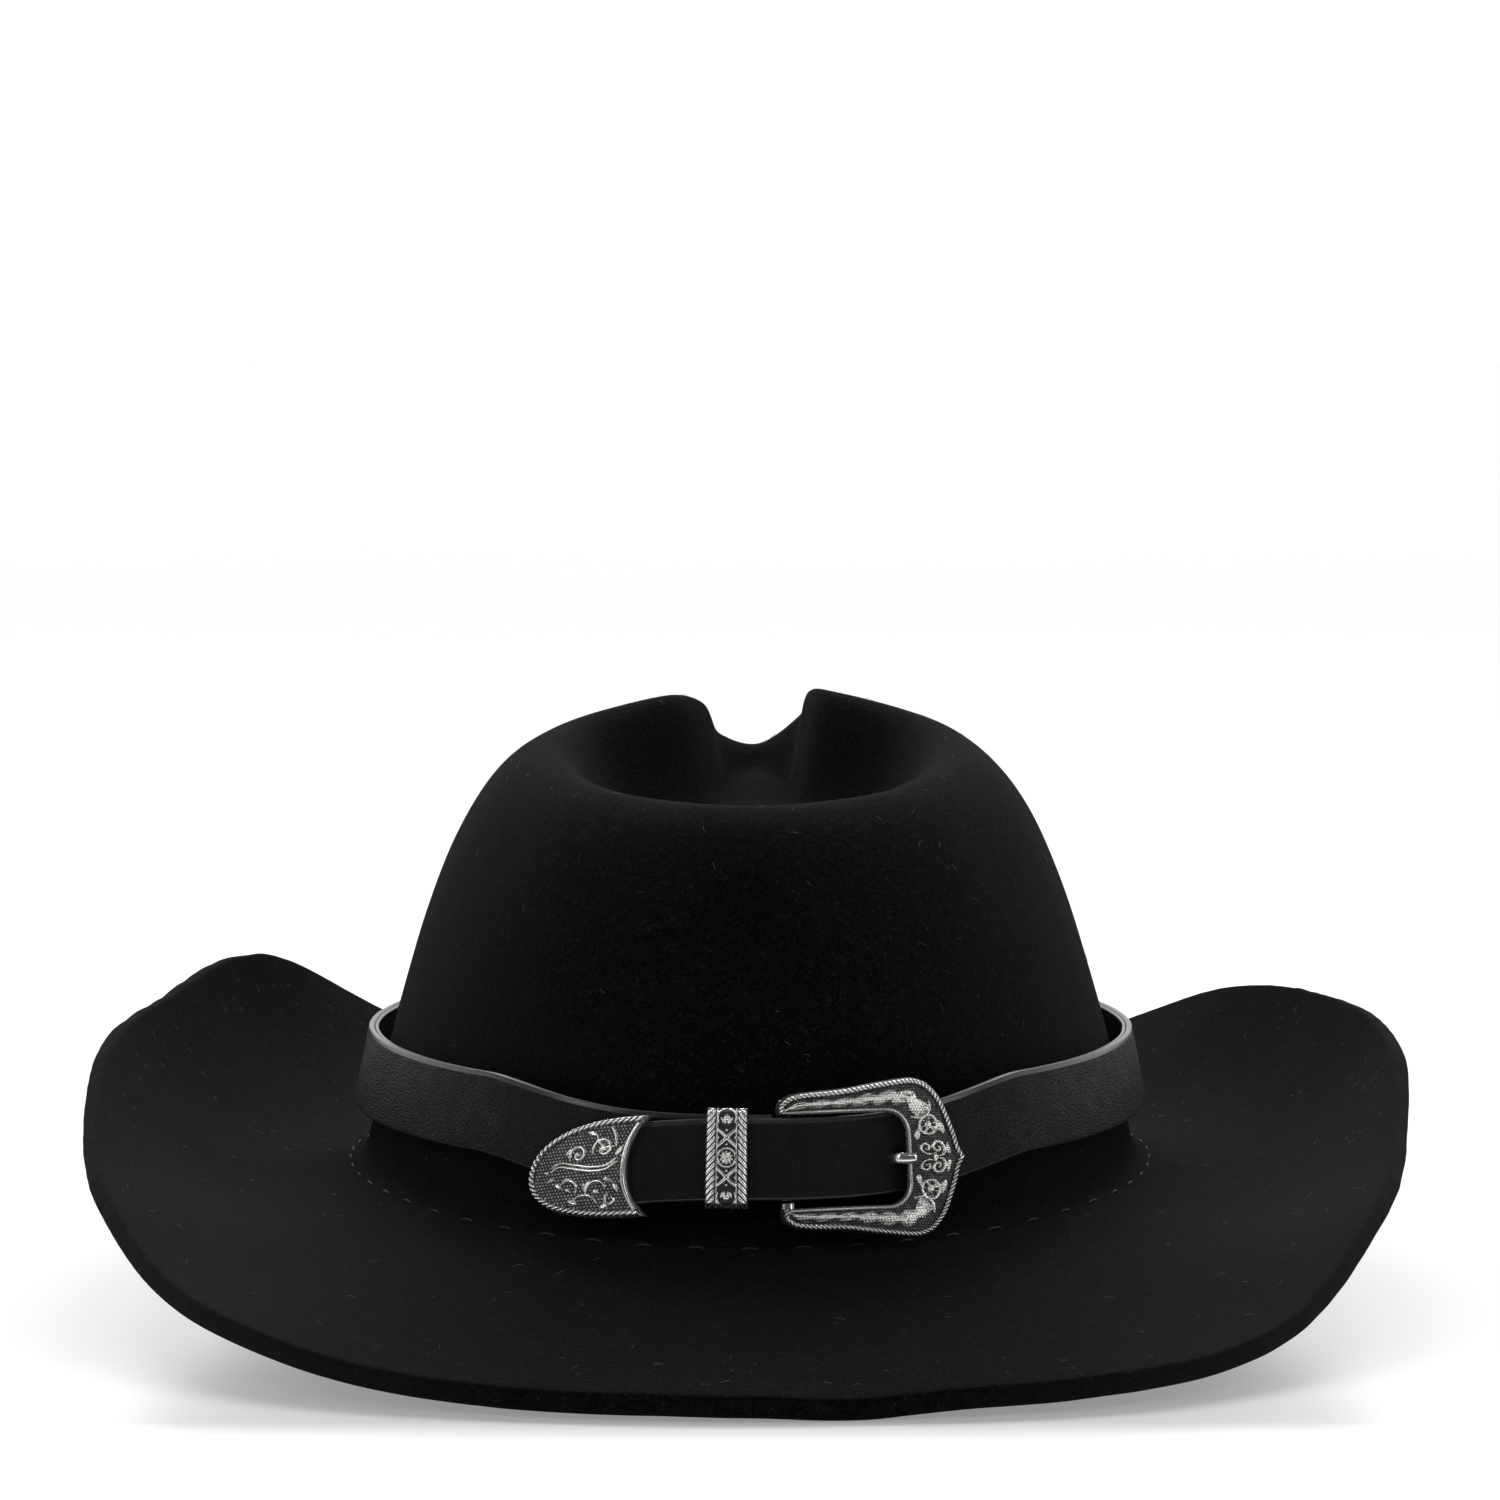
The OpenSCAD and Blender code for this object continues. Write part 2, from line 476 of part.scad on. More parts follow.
// ---- tip: a metal sheath over the free end ----
tip_mid = tip_angle + tip_len / 2 / outer_r * 180 / PI;
// height of the hanging strap, seen flat at x along the strap from the tip's middle
function hang(x) = let (a = asin(x / outer_r))
    (band_off(-90 + tip_mid) + strap_t / 2 + outer_r * (1 - cos(a))) * sin(strap_lean)
    - free_droop * pow((tip_mid + a) / 36, 2) * cos(strap_lean);
module tip_outline() {
    L = tip_len; H = tip_h / 2;
    side = [for (k = [0:8]) let (s = k / 8) [L * 0.9 * pow(s, 1.7) - L / 2, H * sin(90 * pow(s, 0.8))]];
    mouth = [for (k = [-3:3]) [L / 2 - 4.5 + 4.5 * pow(k / 4, 2), H * k / 4]];
    flat_points = concat([for (p = side) [p[0], -p[1]]], [[L / 2 + 0.3, -H]], mouth, [[L / 2 + 0.3, H]],
                         [for (k = [8:-1:1]) side[k]]);
    polygon([for (p = flat_points) [p[0], p[1] + hang(p[0]) - tip_drop]]);
}
// outline of the strap's hanging end with clearance all round
module pocket_outline(g) {
    a = -tip_len / 2 + 4 - g; b = tip_len / 2 + 3; n = 6; h = strap_w / 2 + g;
    polygon(concat([for (k = [0:n]) let (x = lerp(a, b, k / n)) [x, hang(x) - h]],
                   [for (k = [n:-1:0]) let (x = lerp(a, b, k / n)) [x, hang(x) + h]]));
}
module tip_shell(d0, d1) translate([0, -loop_end_y, strap_back_z]) rotate([0, 0, -90 + tip_mid - 18])
    rotate_extrude(angle = 36, $fn = 180)
        polygon([q(d0, -12), q(d1, -12), q(d1, strap_w + 12), q(d0, strap_w + 12)]);
module on_tip() on_curve(tip_mid, outer_r) translate([0, 0, strap_w / 2]) rotate([90, 0, 0])
    translate([0, 0, -12]) linear_extrude(height = 24) children();
module tip_cap() color(metal_col) {
    g = 0.45;
    tip_off = band_off(-90 + tip_mid) + 0.2;
    difference() {
        intersection() {
            tip_shell(tip_off - 0.4, tip_off + strap_t + g + tip_t);
            on_tip() tip_outline();
        }
        // pocket for the end of the strap
        intersection() {
            tip_shell(tip_off - 1, tip_off + strap_t + g);
            on_tip() pocket_outline(g);
        }
    }
}

felt_body();
sweatband();
sweatband_stitching();
strap_face();
strap_lining();
buckle_frame();
heel_bar();
prong();
keeper();
tip_cap();
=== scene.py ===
"""Looks of a black western felt hat, seen from the back, with a loose leather hatband
closed by a three piece silver buckle set. Lengths are in millimetres until a mesh is made."""
import math

import bpy
import numpy as np
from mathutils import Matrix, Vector


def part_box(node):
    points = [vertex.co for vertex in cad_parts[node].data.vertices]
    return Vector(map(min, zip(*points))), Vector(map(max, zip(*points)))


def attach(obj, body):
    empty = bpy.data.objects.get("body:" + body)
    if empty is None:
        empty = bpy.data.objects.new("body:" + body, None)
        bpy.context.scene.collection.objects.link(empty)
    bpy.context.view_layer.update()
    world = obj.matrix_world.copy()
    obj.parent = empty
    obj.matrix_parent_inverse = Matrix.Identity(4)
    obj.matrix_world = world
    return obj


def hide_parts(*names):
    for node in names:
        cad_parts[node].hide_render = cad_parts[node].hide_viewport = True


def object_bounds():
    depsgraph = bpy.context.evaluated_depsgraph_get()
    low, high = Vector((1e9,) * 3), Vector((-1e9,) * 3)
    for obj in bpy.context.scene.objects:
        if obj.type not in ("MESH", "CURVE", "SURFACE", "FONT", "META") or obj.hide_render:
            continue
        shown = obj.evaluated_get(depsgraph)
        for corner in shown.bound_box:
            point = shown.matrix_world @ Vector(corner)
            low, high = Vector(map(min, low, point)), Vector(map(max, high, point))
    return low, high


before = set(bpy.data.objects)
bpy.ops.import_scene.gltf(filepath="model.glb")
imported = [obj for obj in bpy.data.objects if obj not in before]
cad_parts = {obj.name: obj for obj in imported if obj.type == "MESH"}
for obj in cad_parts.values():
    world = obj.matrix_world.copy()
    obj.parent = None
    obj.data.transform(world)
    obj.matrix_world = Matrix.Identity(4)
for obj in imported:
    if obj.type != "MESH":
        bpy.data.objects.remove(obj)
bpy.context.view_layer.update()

MM = 0.001
rng = np.random.default_rng(11)

# ---------------------------------------------------------------- sizes, taken from the frame
felt_lo, felt_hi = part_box("felt_body")
face_lo, face_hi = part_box("strap_face")
hat_half_w = (felt_hi.x - felt_lo.x) / 2 / MM
hat_half_l = (felt_hi.y - felt_lo.y) / 2 / MM
hat_top = felt_hi.z / MM

# crown
break_half_w = hat_half_w * 0.5882
break_half_l = hat_half_l * 0.6107
break_z_side = 28.5
break_z_end = 25.5
break_r = 5.0
crown_lean = 12.5
rim_back_z = hat_top - 17.0
rim_back_y = 70.0
rim_half_w = 46.5
rim_side_z = hat_top - 11.0
ridge_z = hat_top - 0.5
ridge_half_w = 16.0
pinch_y = 52.0
rim_front_z = hat_top - 17.0
rim_front_y = 82.0
crease_back_z = rim_back_z - 15.0
crease_front_z = rim_front_z - 6.0
crease_half_w = 24.0
crease_pinch_w = 8.0
pinch_shift = 1.5
felt_t = 2.6
# brim
brim_half_w = hat_half_w * 0.9708
brim_half_l = hat_half_l
roll_side_z = 54.0
roll_top_z = 58.0
roll_left_extra = 8.5
brim_droop = 16.0
side_droop = 8.0
edge_t = 5.4
# sweatband and its stitches
sweat_h = 48.0
sweat_t = 1.1
sweat_gap = 0.6
stitch_count = 72
stitch_len = 4.2
thread_d = 0.7
# hatband
strap_w = 18.5
face_t = 1.4
lining_t = 0.9
glue_gap = 0.05
strap_back_z = 35.3
strap_side_z = 42.0
free_droop = 6.0
end_step = 1.0
strap_lean = 12.0
loop_end_r = 79.2
loop_end_y = 36.0
overlap_gap = 0.6
hole_len = 5.6
hole_w = 3.6
# buckle set
buckle_len = 41.0
buckle_h = 36.0
opening_h = 21.0
buckle_rise = 0.9
bow_w = 13.5
frame_lift = 2.0
frame_t = 3.0
bar_angle = 6.0
bar_d = 1.8
bar_clear = 0.15
eye_wall = 0.6
lug_h = 2.6
heel_out = 2.0
plate_bulge = 4.4
hole_back = 3.7
prong_w = 2.6
keeper_len = 9.6
keeper_angle = -3.6
keeper_t = 0.8
keeper_gap = 0.4
tip_len = 29.0
tip_h = 22.8
tip_t = 1.0
tip_drop = 0.8
tip_angle = -36.0

strap_t = face_t + glue_gap + lining_t
lift = strap_t + overlap_gap
lean = math.radians(strap_lean)
loop_half_w = (face_hi.x - face_lo.x) / 2 / MM - strap_t * math.cos(lean)
side_r = ((loop_half_w ** 2 + loop_end_y ** 2 - loop_end_r ** 2) / (2 * (loop_half_w - loop_end_r)))
turn_a = math.atan2(loop_end_y, side_r - loop_half_w)
outer_r = loop_end_r + lift + strap_t
bar_r = loop_end_r + strap_t / 2
eye_r = bar_d / 2 + bar_clear + eye_wall


# ---------------------------------------------------------------- small maths
def cosd(a):
    return np.cos(np.radians(a))


def sind(a):
    return np.sin(np.radians(a))


def ease(x):
    c = np.clip(x, 0.0, 1.0)
    return c * c * (3 - 2 * c)


def lerp(a, b, s):
    return a + (b - a) * s


def unit(v):
    return v / np.maximum(np.linalg.norm(v, axis=-1, keepdims=True), 1e-9)


def bez(a, b, c, d, s):
    r = 1 - s
    return a * r ** 3 + b * 3 * s * r * r + c * 3 * s * s * r + d * s ** 3


def smooth_line(points, steps):
    """Catmull-Rom curve through a short list of points."""
    p = np.array(points, float)
    p = np.vstack([2 * p[0] - p[1], p, 2 * p[-1] - p[-2]])
    out = []
    for i in range(1, len(p) - 2):
        s = np.linspace(0, 1, steps, endpoint=False)[:, None]
        a, b, c, d = p[i - 1], p[i], p[i + 1], p[i + 2]
        out.append(0.5 * (2 * b + (c - a) * s + (2 * a - 5 * b + 4 * c - d) * s ** 2
                          + (3 * b - a - 3 * c + d) * s ** 3))
    return np.vstack(out + [p[-2][None]])


def arc_length(line):
    return np.concatenate([[0], np.cumsum(np.linalg.norm(np.diff(line, axis=0), axis=1))])


def even(line, count):
    """The same line with evenly spaced points."""
    s = arc_length(line)
    t = np.linspace(0, s[-1], count)
    return np.stack([np.interp(t, s, line[:, k]) for k in range(line.shape[1])], 1)


def near(points, line):
    """Distance of flat points to a polyline, and how far along it the nearest place is."""
    best = np.full(len(points), 1e9)
    along = np.zeros(len(points))
    s = arc_length(line)
    for a, b, s0 in zip(line[:-1], line[1:], s):
        e = b - a
        length = max(float(np.hypot(*e)), 1e-9)
        t = np.clip(((points - a) @ e) / length ** 2, 0, 1)
        d = np.hypot(*(points - a - t[:, None] * e).T)
        closer = d < best
        best[closer] = d[closer]
        along[closer] = (s0 + t * length)[closer]
    return best, along


def wander(p, size, seed):
    """Slow uneven swelling, -1..1, of about the given wavelength."""
    r = np.random.default_rng(seed)
    total = np.zeros(p.shape[:-1])
    for k in range(7):
        way = r.normal(size=p.shape[-1])
        way *= (0.7 + 0.6 * r.random()) * 2 * math.pi / size / np.linalg.norm(way)
        total += np.sin(p @ way + r.random() * 6.28)
    return total / 4.0


# ---------------------------------------------------------------- meshes
def new_object(name, verts, faces, material, patina=None):
    """Object from points in millimetres and a list of faces."""
    mesh = bpy.data.meshes.new(name)
    mesh.from_pydata((np.asarray(verts, float) * MM).tolist(), [], [list(map(int, f)) for f in faces])
    if patina is not None:
        layer = mesh.attributes.new("patina", "FLOAT", "POINT")
        layer.data.foreach_set("value", np.asarray(patina, np.float32))
    mesh.polygons.foreach_set("use_smooth", [True] * len(mesh.polygons))
    mesh.materials.append(material)
    mesh.update()
    obj = bpy.data.objects.new(name, mesh)
    bpy.context.scene.collection.objects.link(obj)
    return obj


def grid_faces(n, m, wrap_n=False, wrap_m=False, start=0, flip=False):
    """Quads of a grid of n lines with m points each."""
    j, i = np.meshgrid(np.arange(n if wrap_n else n - 1), np.arange(m if wrap_m else m - 1), indexing="ij")
    j, i = j.ravel(), i.ravel()
    j2, i2 = (j + 1) % n, (i + 1) % m
    q = np.stack([j * m + i, j * m + i2, j2 * m + i2, j2 * m + i], 1) + start
    return q[:, ::-1] if flip else q


def closed_strip(grid):
    """Points and faces of a strip of closed sections, with both ends filled."""
    n, m = grid.shape[:2]
    faces = grid_faces(n, m, wrap_m=True).tolist()
    faces.append(list(range(m - 1, -1, -1)))
    faces.append(list(range((n - 1) * m, n * m)))
    return grid.reshape(-1, 3), faces


def ring_mesh(grid, **more):
    """Points and faces of a grid that closes on itself both ways."""
    return grid.reshape(-1, 3), grid_faces(*grid.shape[:2], wrap_n=True, wrap_m=True, **more).tolist()


def box_profile(d0, d1, h0, h1, r, across, corner=5):
    """Rounded rectangle in (d, h), from the inside bottom round by the outside."""
    pts = []
    corners = (d1 - r, h0 + r, -90), (d1 - r, h1 - r, 0), (d0 + r, h1 - r, 90), (d0 + r, h0 + r, 180)
    for cd, ch, a in corners:
        turn = np.linspace(a, a + 90, corner)
        pts.append(np.stack([cd + r * cosd(turn), ch + r * sind(turn)], 1))
    out = []
    for k in range(4):
        out.append(pts[k])
        a, b = pts[k][-1], pts[(k + 1) % 4][0]
        steps = across if k % 2 == 0 else 4
        s = np.linspace(0, 1, steps + 1)[1:-1, None]
        out.append(a + (b - a) * s)
    return np.vstack(out)


def tube(path, radius, sides=8):
    """Round thread along a short path; the ends close to a point."""
    path = np.asarray(path, float)
    way = unit(np.gradient(path, axis=0))
    side = unit(np.cross(way, [0.13, 0.21, 1.0]))
    top = np.cross(side, way)
    a = np.linspace(0, 360, sides, endpoint=False)
    r = np.broadcast_to(radius, len(path))[:, None, None]
    ring = side[:, None] * cosd(a)[None, :, None] + top[:, None] * sind(a)[None, :, None]
    return closed_strip(path[:, None] + ring * r)


def joined(name, parts, material, **more):
    """One object out of several (points, faces) pairs."""
    verts, faces, shift = [], [], 0
    for v, f in parts:
        verts.append(v)
        faces += [[k + shift for k in face] for face in f]
        shift += len(v)
    return new_object(name, np.vstack(verts), faces, material, **more)


def place(obj, body, node):
    """The piece moves with a body, and the frame part it stands for is hidden."""
    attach(obj, body)
    if node:
        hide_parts(node)
    return obj


# ---------------------------------------------------------------- materials
def material(name):
    """New material with its node tree, its shader and the object's own coordinates."""
    m = bpy.data.materials.new(name)
    m.use_nodes = True
    tree = m.node_tree
    here = tree.nodes.new("ShaderNodeTexCoord").outputs["Object"]
    return m, tree, tree.nodes["Principled BSDF"], here


def fill(tree, node, sockets):
    """Sets input sockets of a node, or links them where the value is another node's output."""
    for k, v in sockets.items():
        if isinstance(v, bpy.types.NodeSocket):
            tree.links.new(v, node.inputs[k])
        else:
            node.inputs[k].default_value = v
    return node


def add(tree, kind, sockets=None, **props):
    """New node with its properties and its input sockets."""
    n = tree.nodes.new(kind)
    for k, v in props.items():
        setattr(n, k, v)
    return fill(tree, n, sockets or {})


def calc(tree, operation, *values):
    return add(tree, "ShaderNodeMath", dict(enumerate(values)), operation=operation).outputs[0]


def span(tree, value, low, high, a=0.0, b=1.0):
    """Number that runs from a to b while value goes from low to high."""
    return add(tree, "ShaderNodeMapRange", {"Value": value, "From Min": low, "From Max": high,
                                            "To Min": a, "To Max": b}).outputs[0]


def ramp(tree, value, low, high, a, b):
    """Colour or grey that runs from a to b while value goes from low to high."""
    n = add(tree, "ShaderNodeValToRGB", {"Fac": value})
    for element, at, tone in zip(n.color_ramp.elements, (low, high), (a, b)):
        element.position, element.color = at, (*(tone if isinstance(tone, tuple) else (tone,) * 3), 1)
    return n.outputs["Color"]


def noise(tree, where, scale, detail=4.0, rough=0.5, distort=0.0):
    return add(tree, "ShaderNodeTexNoise", {"Vector": where, "Scale": scale, "Detail": detail,
                                            "Roughness": rough, "Distortion": distort}).outputs["Fac"]


def bump(tree, height, strength, distance, under=None):
    below = {"Normal": under} if under is not None else {}
    return add(tree, "ShaderNodeBump", {"Height": height, "Strength": strength, "Distance": distance,
                                        **below}).outputs["Normal"]


def mix_color(tree, fac, a, b):
    n = add(tree, "ShaderNodeMix", {"Factor": fac}, data_type="RGBA")
    colours = [s for s in n.inputs if s.type == "RGBA"]
    for socket, v in zip(colours, (a, b)):
        if isinstance(v, bpy.types.NodeSocket):
            tree.links.new(v, socket)
        else:
            socket.default_value = (*v, 1)
    return [s for s in n.outputs if s.type == "RGBA"][0]


def felt_material():
    """Black fur felt: matt, mottled, with a fine fibrous nap, and painted light: a paler colour on the back of
    both rolls, where the lamp from above and behind falls on them.
    """
    m, tree, skin, here = material("black felt")
    blotch = noise(tree, here, 45, 3, 0.55)
    fibres = noise(tree, here, 1150, 4, 0.75, 1.2)
    tone = ramp(tree, blotch, 0.3, 0.7, (0.0010, 0.0010, 0.0011), (0.0022, 0.0022, 0.0023))
    nap_tone = mix_color(tree, ramp(tree, fibres, 0.53, 0.70, 0, 1), tone, (0.0200, 0.0200, 0.0206))
    # painted light: the base colour turns paler toward both brim sides and the hat's back, standing in for the
    # light that falls there
    spot = add(tree, "ShaderNodeSeparateXYZ", {"Vector": here})
    wide = span(tree, calc(tree, "ABSOLUTE", spot.outputs["X"]), 0.045, 0.125)
    back = span(tree, spot.outputs["Y"], -0.02, -0.075)
    painted_side_light = ramp(tree, calc(tree, "MULTIPLY", wide, back), 0.0, 1.0, 0, 0.4)
    nap = bump(tree, fibres, 1.0, 0.0009)
    fill(tree, skin, {"Base Color": mix_color(tree, painted_side_light, nap_tone, (0.0240, 0.0240, 0.0245)),
                      "Roughness": 0.95, "Specular IOR Level": 0.06, "Sheen Weight": 0.022,
                      "Sheen Roughness": 0.3, "Sheen Tint": (0.85, 0.86, 0.9, 1),
                      "Normal": bump(tree, noise(tree, here, 420, 3, 0.6, 0.6), 0.4, 0.0008, nap)})
    return m


def leather_material(name, tone, rough, grain, depth):
    """Smooth dyed leather with a fine pebble grain and soft creasing."""
    m, tree, skin, here = material(name)
    warp = noise(tree, here, grain * 0.35, 2)
    cells = add(tree, "ShaderNodeTexVoronoi", {"Vector": here, "Scale": grain, "Randomness": 1.0},
                feature="DISTANCE_TO_EDGE").outputs["Distance"]
    shade = tuple(c * 0.72 for c in tone)
    fine = bump(tree, ramp(tree, cells, 0.0, 0.22, 0, 1), depth, 0.00012)
    fill(tree, skin, {"Base Color": mix_color(tree, warp, shade, tone),
                      "Roughness": ramp(tree, noise(tree, here, 160, 4), 0.3, 0.75, rough - 0.05, rough + 0.08),
                      "Specular IOR Level": 0.17,
                      "Normal": bump(tree, noise(tree, here, 130, 3, 0.5), 0.16, 0.0006, fine)})
    return m


def edge_material():
    """Painted strap edge: glossy dark lacquer with slight ripples."""
    m, tree, skin, here = material("painted leather edge")
    fill(tree, skin, {"Base Color": ramp(tree, noise(tree, here, 260), 0.3, 0.7,
                                         (0.012, 0.012, 0.0125), (0.026, 0.026, 0.027)),
                      "Roughness": 0.3, "Normal": bump(tree, noise(tree, here, 700, 2), 0.12, 0.0002)})
    return m


def silver_material(name, bright=(0.80, 0.785, 0.76)):
    """Antique silver: black patina in the hollows, polished high places, hairline scratches."""
    m, tree, skin, here = material(name)
    wear = add(tree, "ShaderNodeAttribute", attribute_name="patina", attribute_type="GEOMETRY").outputs["Fac"]
    uneven = calc(tree, "MULTIPLY", noise(tree, here, 900, 4, 0.6), 0.35)
    worn = ramp(tree, calc(tree, "ADD", wear, uneven), 0.42, 0.78, 0, 1)
    scratch = noise(tree, here, 2600, 3, 0.7, 2.0)
    polish = ramp(tree, scratch, 0.3, 0.7, 0.13, 0.27)
    fill(tree, skin, {"Base Color": mix_color(tree, worn, (0.014, 0.0135, 0.013), bright),
                      "Metallic": ramp(tree, worn, 0, 1, 0.25, 1.0),
                      "Roughness": mix_color(tree, worn, (0.42, 0.42, 0.42), polish),
                      "Normal": bump(tree, scratch, 0.06, 0.00006)})
    return m


def thread_material():
    """Twisted black thread."""
    m, tree, skin, here = material("black thread")
    ply = noise(tree, here, 2200, 3, 0.6, 1.0)
    fill(tree, skin, {"Base Color": ramp(tree, ply, 0.3, 0.7, (0.003, 0.003, 0.0034), (0.010, 0.010, 0.0105)),
                      "Roughness": 0.62, "Normal": bump(tree, ply, 0.5, 0.00012)})
    return m


def lint_material():
    """Pale dust and stray fibres on the felt."""
    m, tree, skin, here = material("lint")
    fill(tree, skin, {"Base Color": ramp(tree, noise(tree, here, 300), 0.3, 0.7, 0.05, 0.16),
                      "Roughness": 0.9})
    return m


FELT = felt_material()
SWEAT = leather_material("sweatband leather", (0.020, 0.017, 0.015), 0.5, 1300, 0.35)
STRAP = leather_material("strap leather", (0.0022, 0.0022, 0.0024), 0.50, 1150, 0.8)
LINING = leather_material("lining leather", (0.008, 0.008, 0.008), 0.6, 1500, 0.25)
EDGE = edge_material()
SILVER = silver_material("antique silver")
BAR = silver_material("bar steel", (0.55, 0.54, 0.52))
THREAD = thread_material()
LINT = lint_material()


# ---------------------------------------------------------------- felt body
def rim_half(side):
    p, r, g = pinch_shift * side, ridge_half_w, ridge_z + 0.5 * side
    return [(-90, 0, -rim_back_y, rim_back_z),
            (-56, rim_half_w * 0.68, -rim_back_y * 0.8, lerp(rim_back_z, rim_side_z, 0.3)),
            (-22, rim_half_w, -rim_back_y * 0.32, rim_side_z),
            (18, rim_half_w * 0.92, pinch_y * 0.27, lerp(rim_side_z, g, 0.55)),
            (52, r + 4, pinch_y * 0.77, g),
            (66, r - 2.5 + p, pinch_y + 2, g - 2 + side),
            (78, r - 5.5 + 1.8 * p, lerp(pinch_y, rim_front_y, 0.54), rim_front_z + 6.5 + 2.5 * side),
            (90, 1.5 * pinch_shift, rim_front_y, rim_front_z)]


def floor_half(side):
    p, r = pinch_shift * side, crease_pinch_w
    return [(-90, 0, -rim_back_y * 0.66, crease_back_z),
            (-56, crease_half_w * 0.62, -rim_back_y * 0.54, crease_back_z),
            (-22, crease_half_w, -rim_back_y * 0.28, crease_back_z),
            (18, crease_half_w * 0.85, pinch_y * 0.12, crease_back_z + 1),
            (52, r + 1.5 + p, pinch_y * 0.58, crease_back_z + 3),
            (66, r - 1 + p, pinch_y * 0.88, lerp(crease_back_z, crease_front_z, 0.55)),
            (78, r - 2.5 + p, pinch_y + 6, lerp(crease_back_z, crease_front_z, 0.85)),
            (90, pinch_shift, pinch_y + 16, crease_front_z)]


def edge_half(side):
    w, l, e = brim_half_w, brim_half_l, edge_t
    k = 1 if side < 0 else 0
    x = roll_left_extra * k
    s, g = roll_side_z + 0.3 * x, roll_top_z - 0.1 * x
    rest = e * math.cos(math.radians(brim_droop)) + 0.08
    return [(-90, 0, -l, rest),
            (-66, w * 0.5, -l * 0.925, e + 1.5 + 1.2 * k),
            (-49, w * (0.765 + 0.02 * k), -l * 0.755, s * 0.25 + 2.7 * k),
            (-32, w * (0.93 + 0.02 * k), -l * 0.485, s * 0.575),
            (-15, w * (0.985 + 0.01 * k), -l * 0.23, s * 0.83),
            (0, w - 1.2 * k, 0, s - k),
            (20, w * (0.955 - 0.008 * k), l * 0.27, g + 0.12 * x),
            (42, w * 0.81, l * 0.59, g * 0.92 + 1.1 * x),
            (58, w * 0.62, l * 0.81, g * 0.66 + 0.4 * x),
            (74, w * 0.32, l * 0.95, g * 0.28),
            (90, 0, l, rest)]


def both_halves(half):
    """Stations all round: the right half, then the left half mirrored."""
    right, left = half(1), half(-1)
    return right + [(180 - a, -x, y, z) for a, x, y, z in left[-2:0:-1]]


def loop_points(stations, angles):
    """Smooth closed loop through stations of (angle, x, y, z)."""
    a = np.array([s[0] for s in stations], float)
    p = np.array([s[1:] for s in stations], float)
    n = len(a)
    slope = (np.roll(p, -1, 0) - np.roll(p, 1, 0)) / ((np.roll(a, -1) - np.roll(a, 1)) % 360)[:, None]
    x = (angles - a[0]) % 360 + a[0]
    i = np.clip(np.searchsorted(a, x, side="right") - 1, 0, n - 1)
    k = (i + 1) % n
    span = ((a[k] - a[i]) % 360)[:, None]
    s = (x - a[i])[:, None] / span
    return (p[i] * (2 * s ** 3 - 3 * s ** 2 + 1) + slope[i] * span * (s ** 3 - 2 * s ** 2 + s)
            + p[k] * (3 * s ** 2 - 2 * s ** 3) + slope[k] * span * (s ** 3 - s ** 2))


CAP_ROWS, CREASE_ROWS, WALL_ROWS, FILLET_ROWS, BRIM_ROWS = 6, 26, 62, 8, 74
FIRST_BRIM = CAP_ROWS + CREASE_ROWS + WALL_ROWS + FILLET_ROWS
LINES = 720


def felt_grid():
    """Outer felt surface: lines from the spine of the crease over the rim to the brim edge."""
    p = -90 + 360 * np.arange(LINES) / LINES
    t = p + 24 * cosd(p)
    F = loop_points(both_halves(floor_half), t)
    C = loop_points(both_halves(rim_half), t)
    E = loop_points(both_halves(edge_half), t)
    c, s = cosd(t), sind(t)
    K = np.stack([break_half_w * c, break_half_l * s, lerp(break_z_end, break_z_side, c ** 2)], 1)
    n = unit(np.stack([c / break_half_w, s / break_half_l, 0 * c], 1))
    up = np.array([0.0, 0.0, 1.0])
    flat = np.array([1.0, 1.0, 0.0])
    far, close = np.maximum(0, s) ** 2, np.maximum(0, -s) ** 2
    mid = 1 - far - close
    W = up * cosd(crown_lean) - n * sind(crown_lean)
    shoulder = (22 * mid + 17 * close + 10 * far)[:, None]
    hold = ((0.5 * mid + 0.45 * close + 0.35 * far) * (C[:, 2] - K[:, 2]))[:, None]
    out = unit((K - C) * flat)
    g = (C - F) * flat
    gw, gu = np.linalg.norm(g, axis=1)[:, None], unit(g)
    sd = np.abs(c) ** 1.5
    a0 = -(brim_droop * (1 - sd) + side_droop * sd)
    b = E - K
    bl, bh = np.linalg.norm(b, axis=1)[:, None], unit(b * flat)
    rise = np.degrees(np.arctan2(b[:, 2], np.linalg.norm(b[:, :2], axis=1)))
    a1 = np.clip(rise + 1.15 * (rise - a0), -40, 86)
    T0 = unit(n + bh) * cosd(a0)[:, None] + up * sind(a0)[:, None]
    T1 = bh * cosd(a1)[:, None] + up * sind(a1)[:, None]
    KW, KB = K + W * break_r, K + T0 * break_r
    M = (F + np.roll(F[::-1], 1, axis=0)) / 2
    rows = [lerp(M, F, k / CAP_ROWS) for k in range(CAP_ROWS)]
    rows += [bez(F, F + gu * gw * 0.62, C - gu * gw * 0.42, C, k / CREASE_ROWS) for k in range(CREASE_ROWS)]
    rows += [bez(C, C + out * shoulder, K + W * hold, KW, k / WALL_ROWS) for k in range(WALL_ROWS)]
    for k in range(FILLET_ROWS):
        u = k / FILLET_ROWS
        rows.append(KW * (1 - u) ** 2 + K * 2 * u * (1 - u) + KB * u * u)
    last = BRIM_ROWS - 1
    rows += [bez(KB, KB + T0 * bl * 0.36, E - T1 * bl * 0.4, E, k / last) for k in range(BRIM_ROWS)]
    return np.stack(rows, 1)


def relax_rim(grid):
    """Softens the fold at the crown rim and at the pinch so that the felt turns over it roundly."""
    lo, hi = CAP_ROWS + 3, CAP_ROWS + CREASE_ROWS + 16
    mean = (grid[:, lo - 1:hi - 1] + grid[:, lo + 1:hi + 1]) / 2
    grid[:, lo:hi] = lerp(grid[:, lo:hi], mean, 0.8)
    return grid


